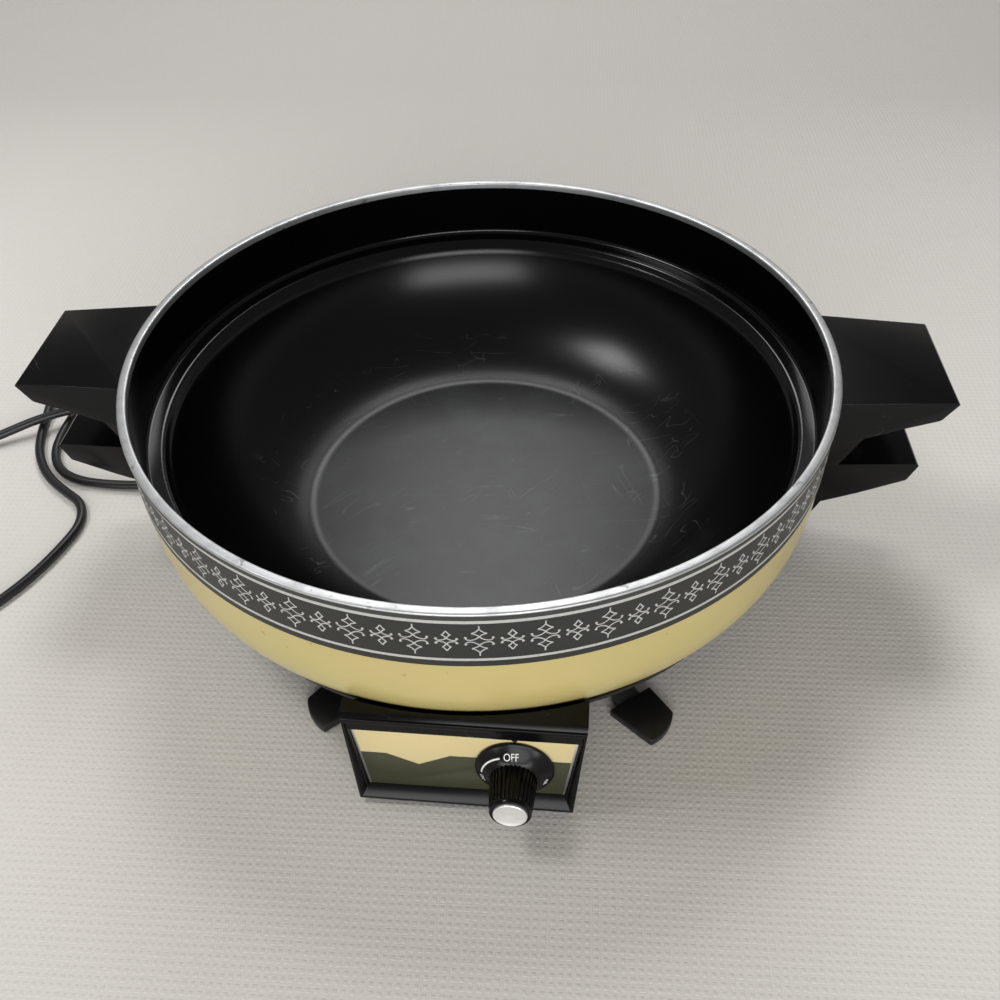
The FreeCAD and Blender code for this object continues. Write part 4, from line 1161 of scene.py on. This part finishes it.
def on_skirt(angle, out):
    """A point on the knob's sloping skirt face, with the local right and up directions, from a dial angle."""
    a = math.radians(angle)
    outward = PANEL_RIGHT * math.cos(a) + PANEL_UP * math.sin(a)
    level = SKIRT_LEVEL + (SKIRT_RADIUS - out) * SKIRT_SLOPE
    point = KNOB_CENTRE + outward * mm(out) + KNOB_AXIS * mm(level)
    up = (outward - KNOB_AXIS * SKIRT_SLOPE).normalized()
    right = up.cross((outward * SKIRT_SLOPE + KNOB_AXIS).normalized())
    return point, right, up


class SKILLET_OT_control_box(Maker):
    """Control box with its recessed printed plate."""

    bl_idname = "skillet.control_box"
    bl_label = "Control box"

    def execute(self, context):
        """Dresses the box, its cover and plate, and adds a dark bar over the knob, a painted reflection of
        its grip, with a small dark pointer under it.
        """
        dressed("control_box", "phenolic", 0.5, 3)
        dressed("box_cover", "black_enamel", 0.3)
        dressed("control_plate", "printed_plate", 0.12)
        bm = bmesh.new()
        # a dark bar as wide as the knob's grip, a painted reflection of the grip, then a small pointer under
        # it
        for outline in (
            [(-8.6, 16.5), (9.0, 16.5), (9.0, 18.1), (-8.6, 18.1)],
            [(-1.3, 16.55), (1.3, 16.55), (0, 14.9)],
        ):
            for level, order in ((0.06, 1), (-0.02, -1)):
                spots = [on_panel(PLATE_POINT, right, up, level) for right, up in outline]
                bm.faces.new([bm.verts.new(spot) for spot in spots][::order])
        add_piece("plate_marks", mesh_of("plate_marks", bm), "printed_plate", "base", finish="dark_print")
        self.bezel()
        return {"FINISHED"}

    def bezel(self):
        """The frame round the plate: a thin lip that stands out further towards the box's foot."""
        # four corners each, as distances right, up and out
        loops = (
            [(-46.9, 25.0, -1.0), (46.9, 25.0, -1.0), (43.2, -21.6, -1.0), (-43.2, -21.6, -1.0)],
            [(-46.9, 25.0, 0.5), (46.9, 25.0, 0.5), (43.2, -21.6, 2.6), (-43.2, -21.6, 2.6)],
            [(-45.9, 23.2, 0.5), (45.9, 23.2, 0.5), (42.1, -20.4, 2.6), (-42.1, -20.4, 2.6)],
            [(-44.5, 18.3, -1.5), (44.5, 18.3, -1.5), (39.5, -15.6, -1.5), (-39.5, -16.6, -1.5)],
            [(-44.5, 18.3, -2.0), (44.5, 18.3, -2.0), (39.5, -15.6, -2.0), (-39.5, -16.6, -2.0)],
        )
        middle = KNOB_SEAT + PANEL_RIGHT * (BOX_MIDDLE - PLATE_POINT).dot(PANEL_RIGHT)
        mesh = skin("box_bezel", [[on_panel(middle, *corner) for corner in loop] for loop in loops], True)
        add_piece("box_bezel", bevelled(mesh, 0.35, 3), "phenolic", "base", 35)


class SKILLET_OT_knob(Maker):
    """Thermostat knob: a marked skirt, a ribbed grip and a spun cap."""

    bl_idname = "skillet.knob"
    bl_label = "Knob"

    def execute(self, context):
        """Makes the knob round its own axis and rides it on the knob body."""
        core = [
            (3.1, 0), (15.3, 0), (15.6, 0.2), (15.6, 0.6), (15.3, 0.95), (14.9, 1.15), (12.6, 3.0),
            (10.6, 4.6), (9.6, 5.2), (8.85, 5.6), (7.75, 18.9), (8.15, 19.4), (8.1, 20.6), (7.85, 21.0),
            (7.2, 21.05), (6.7, 20.9), (6.6, 20.6), (3.1, 20.6),
        ]
        cap = [
            (0, 20.7), (6.55, 20.7), (6.58, 21.3), (6.5, 21.7), (6.25, 21.9), (5.9, 21.85), (5.6, 21.7),
            (4.0, 21.5), (2.0, 21.3), (0.9, 21.2), (0, 21.15),
        ]
        ribs = repeated(self.rib(), ring_tree(), Count=self.sizes.knob_ribs)
        turn = UP.rotation_difference(KNOB_AXIS).to_matrix().to_4x4()
        turn.translation = KNOB_CENTRE
        ribs.transform(turn)
        core = lathe("knob_core", core, 96, KNOB_CENTRE, KNOB_AXIS)
        cap = lathe("spun_cap", cap, 96, KNOB_CENTRE, KNOB_AXIS)
        add_piece("knob_core", core, "phenolic", "knob", 35, "knob_grip")
        add_piece("knob_ribs", ribs, "phenolic", "knob", 50)
        add_piece("spun_cap", cap, "spun_aluminium", "knob", 35, "knob_cap")
        dressed("knob_shaft", "polished_steel", 0.2, body="knob")
        self.marks()
        return {"FINISHED"}

    def rib(self):
        """One rib of the grip, along the knob's axis at its radius."""
        rings = []
        for height, out, size in (
            (5.2, 8.9, 0.2), (5.9, 8.85, 0.6), (12.0, 8.35, 0.6), (18.4, 7.8, 0.58), (19.2, 7.75, 0.3)
        ):
            rings.append([mm(out + size * c, size * s, height) for c, s in circle(8)])
        return skin("knob_rib", rings)

    def marks(self):
        """OFF, the pale sweep beside it and the numbers round the skirt."""
        bm = bmesh.new()
        for words, angle, size, out in DIAL:
            bm.from_mesh(flat_text(words, size, *on_skirt(angle, out)))
        sweep = []
        for step in range(SWEEP_STEPS + 1):
            angle = SWEEP_START + SWEEP_TURN * step / SWEEP_STEPS
            inner = SWEEP_RADIUS + step * SWEEP_DRIFT
            sweep.append([])
            for point, right, up in (on_skirt(angle, inner), on_skirt(angle, inner + SWEEP_WIDTH)):
                sweep[-1].append(point + right.cross(up) * mm(INK))
        for (a, b), (c, d) in zip(sweep, sweep[1:]):
            bm.faces.new([bm.verts.new(spot) for spot in (a, b, d, c)])
        add_piece("dial_marks", mesh_of("dial_marks", bm), "spun_aluminium", "knob", finish="dial_print")


# ---- panel and main


class SKILLET_PT_panel(bpy.types.Panel):
    """Sidebar panel with the skillet's settings and pieces."""

    bl_label = "Electric skillet"
    bl_idname = "SKILLET_PT_panel"
    bl_space_type = "VIEW_3D"
    bl_region_type = "UI"
    bl_category = "Skillet"

    def draw(self, context):
        """Lists the settings and one button for each operator."""
        column = self.layout.column()
        for group in (context.scene.skillet_sizes, context.scene.skillet_colours):
            for key in group.__annotations__:
                column.prop(group, key)
        for maker in MAKERS:
            column.operator(maker.bl_idname)


MAKERS = (
    SKILLET_OT_stage, SKILLET_OT_cord, SKILLET_OT_pan, SKILLET_OT_band, SKILLET_OT_pan_handles,
    SKILLET_OT_base, SKILLET_OT_feet, SKILLET_OT_control_box, SKILLET_OT_knob,
)
CLASSES = (SkilletSizes, SkilletColours, *MAKERS, SKILLET_PT_panel)


def register():
    """Registers the add-on's classes and settings."""
    for item in CLASSES:
        bpy.utils.register_class(item)
    bpy.types.Scene.skillet_sizes = PointerProperty(type=SkilletSizes)
    bpy.types.Scene.skillet_colours = PointerProperty(type=SkilletColours)


def unregister():
    """Removes them again."""
    del bpy.types.Scene.skillet_colours
    del bpy.types.Scene.skillet_sizes
    for item in reversed(CLASSES):
        bpy.utils.unregister_class(item)


def main():
    """Builds the dressed skillet."""
    register()
    bpy.context.scene.view_settings.view_transform = "Standard"
    for maker in MAKERS:
        group, name = maker.bl_idname.split(".")
        getattr(getattr(bpy.ops, group), name)()


if __name__ == "__main__":
    main()
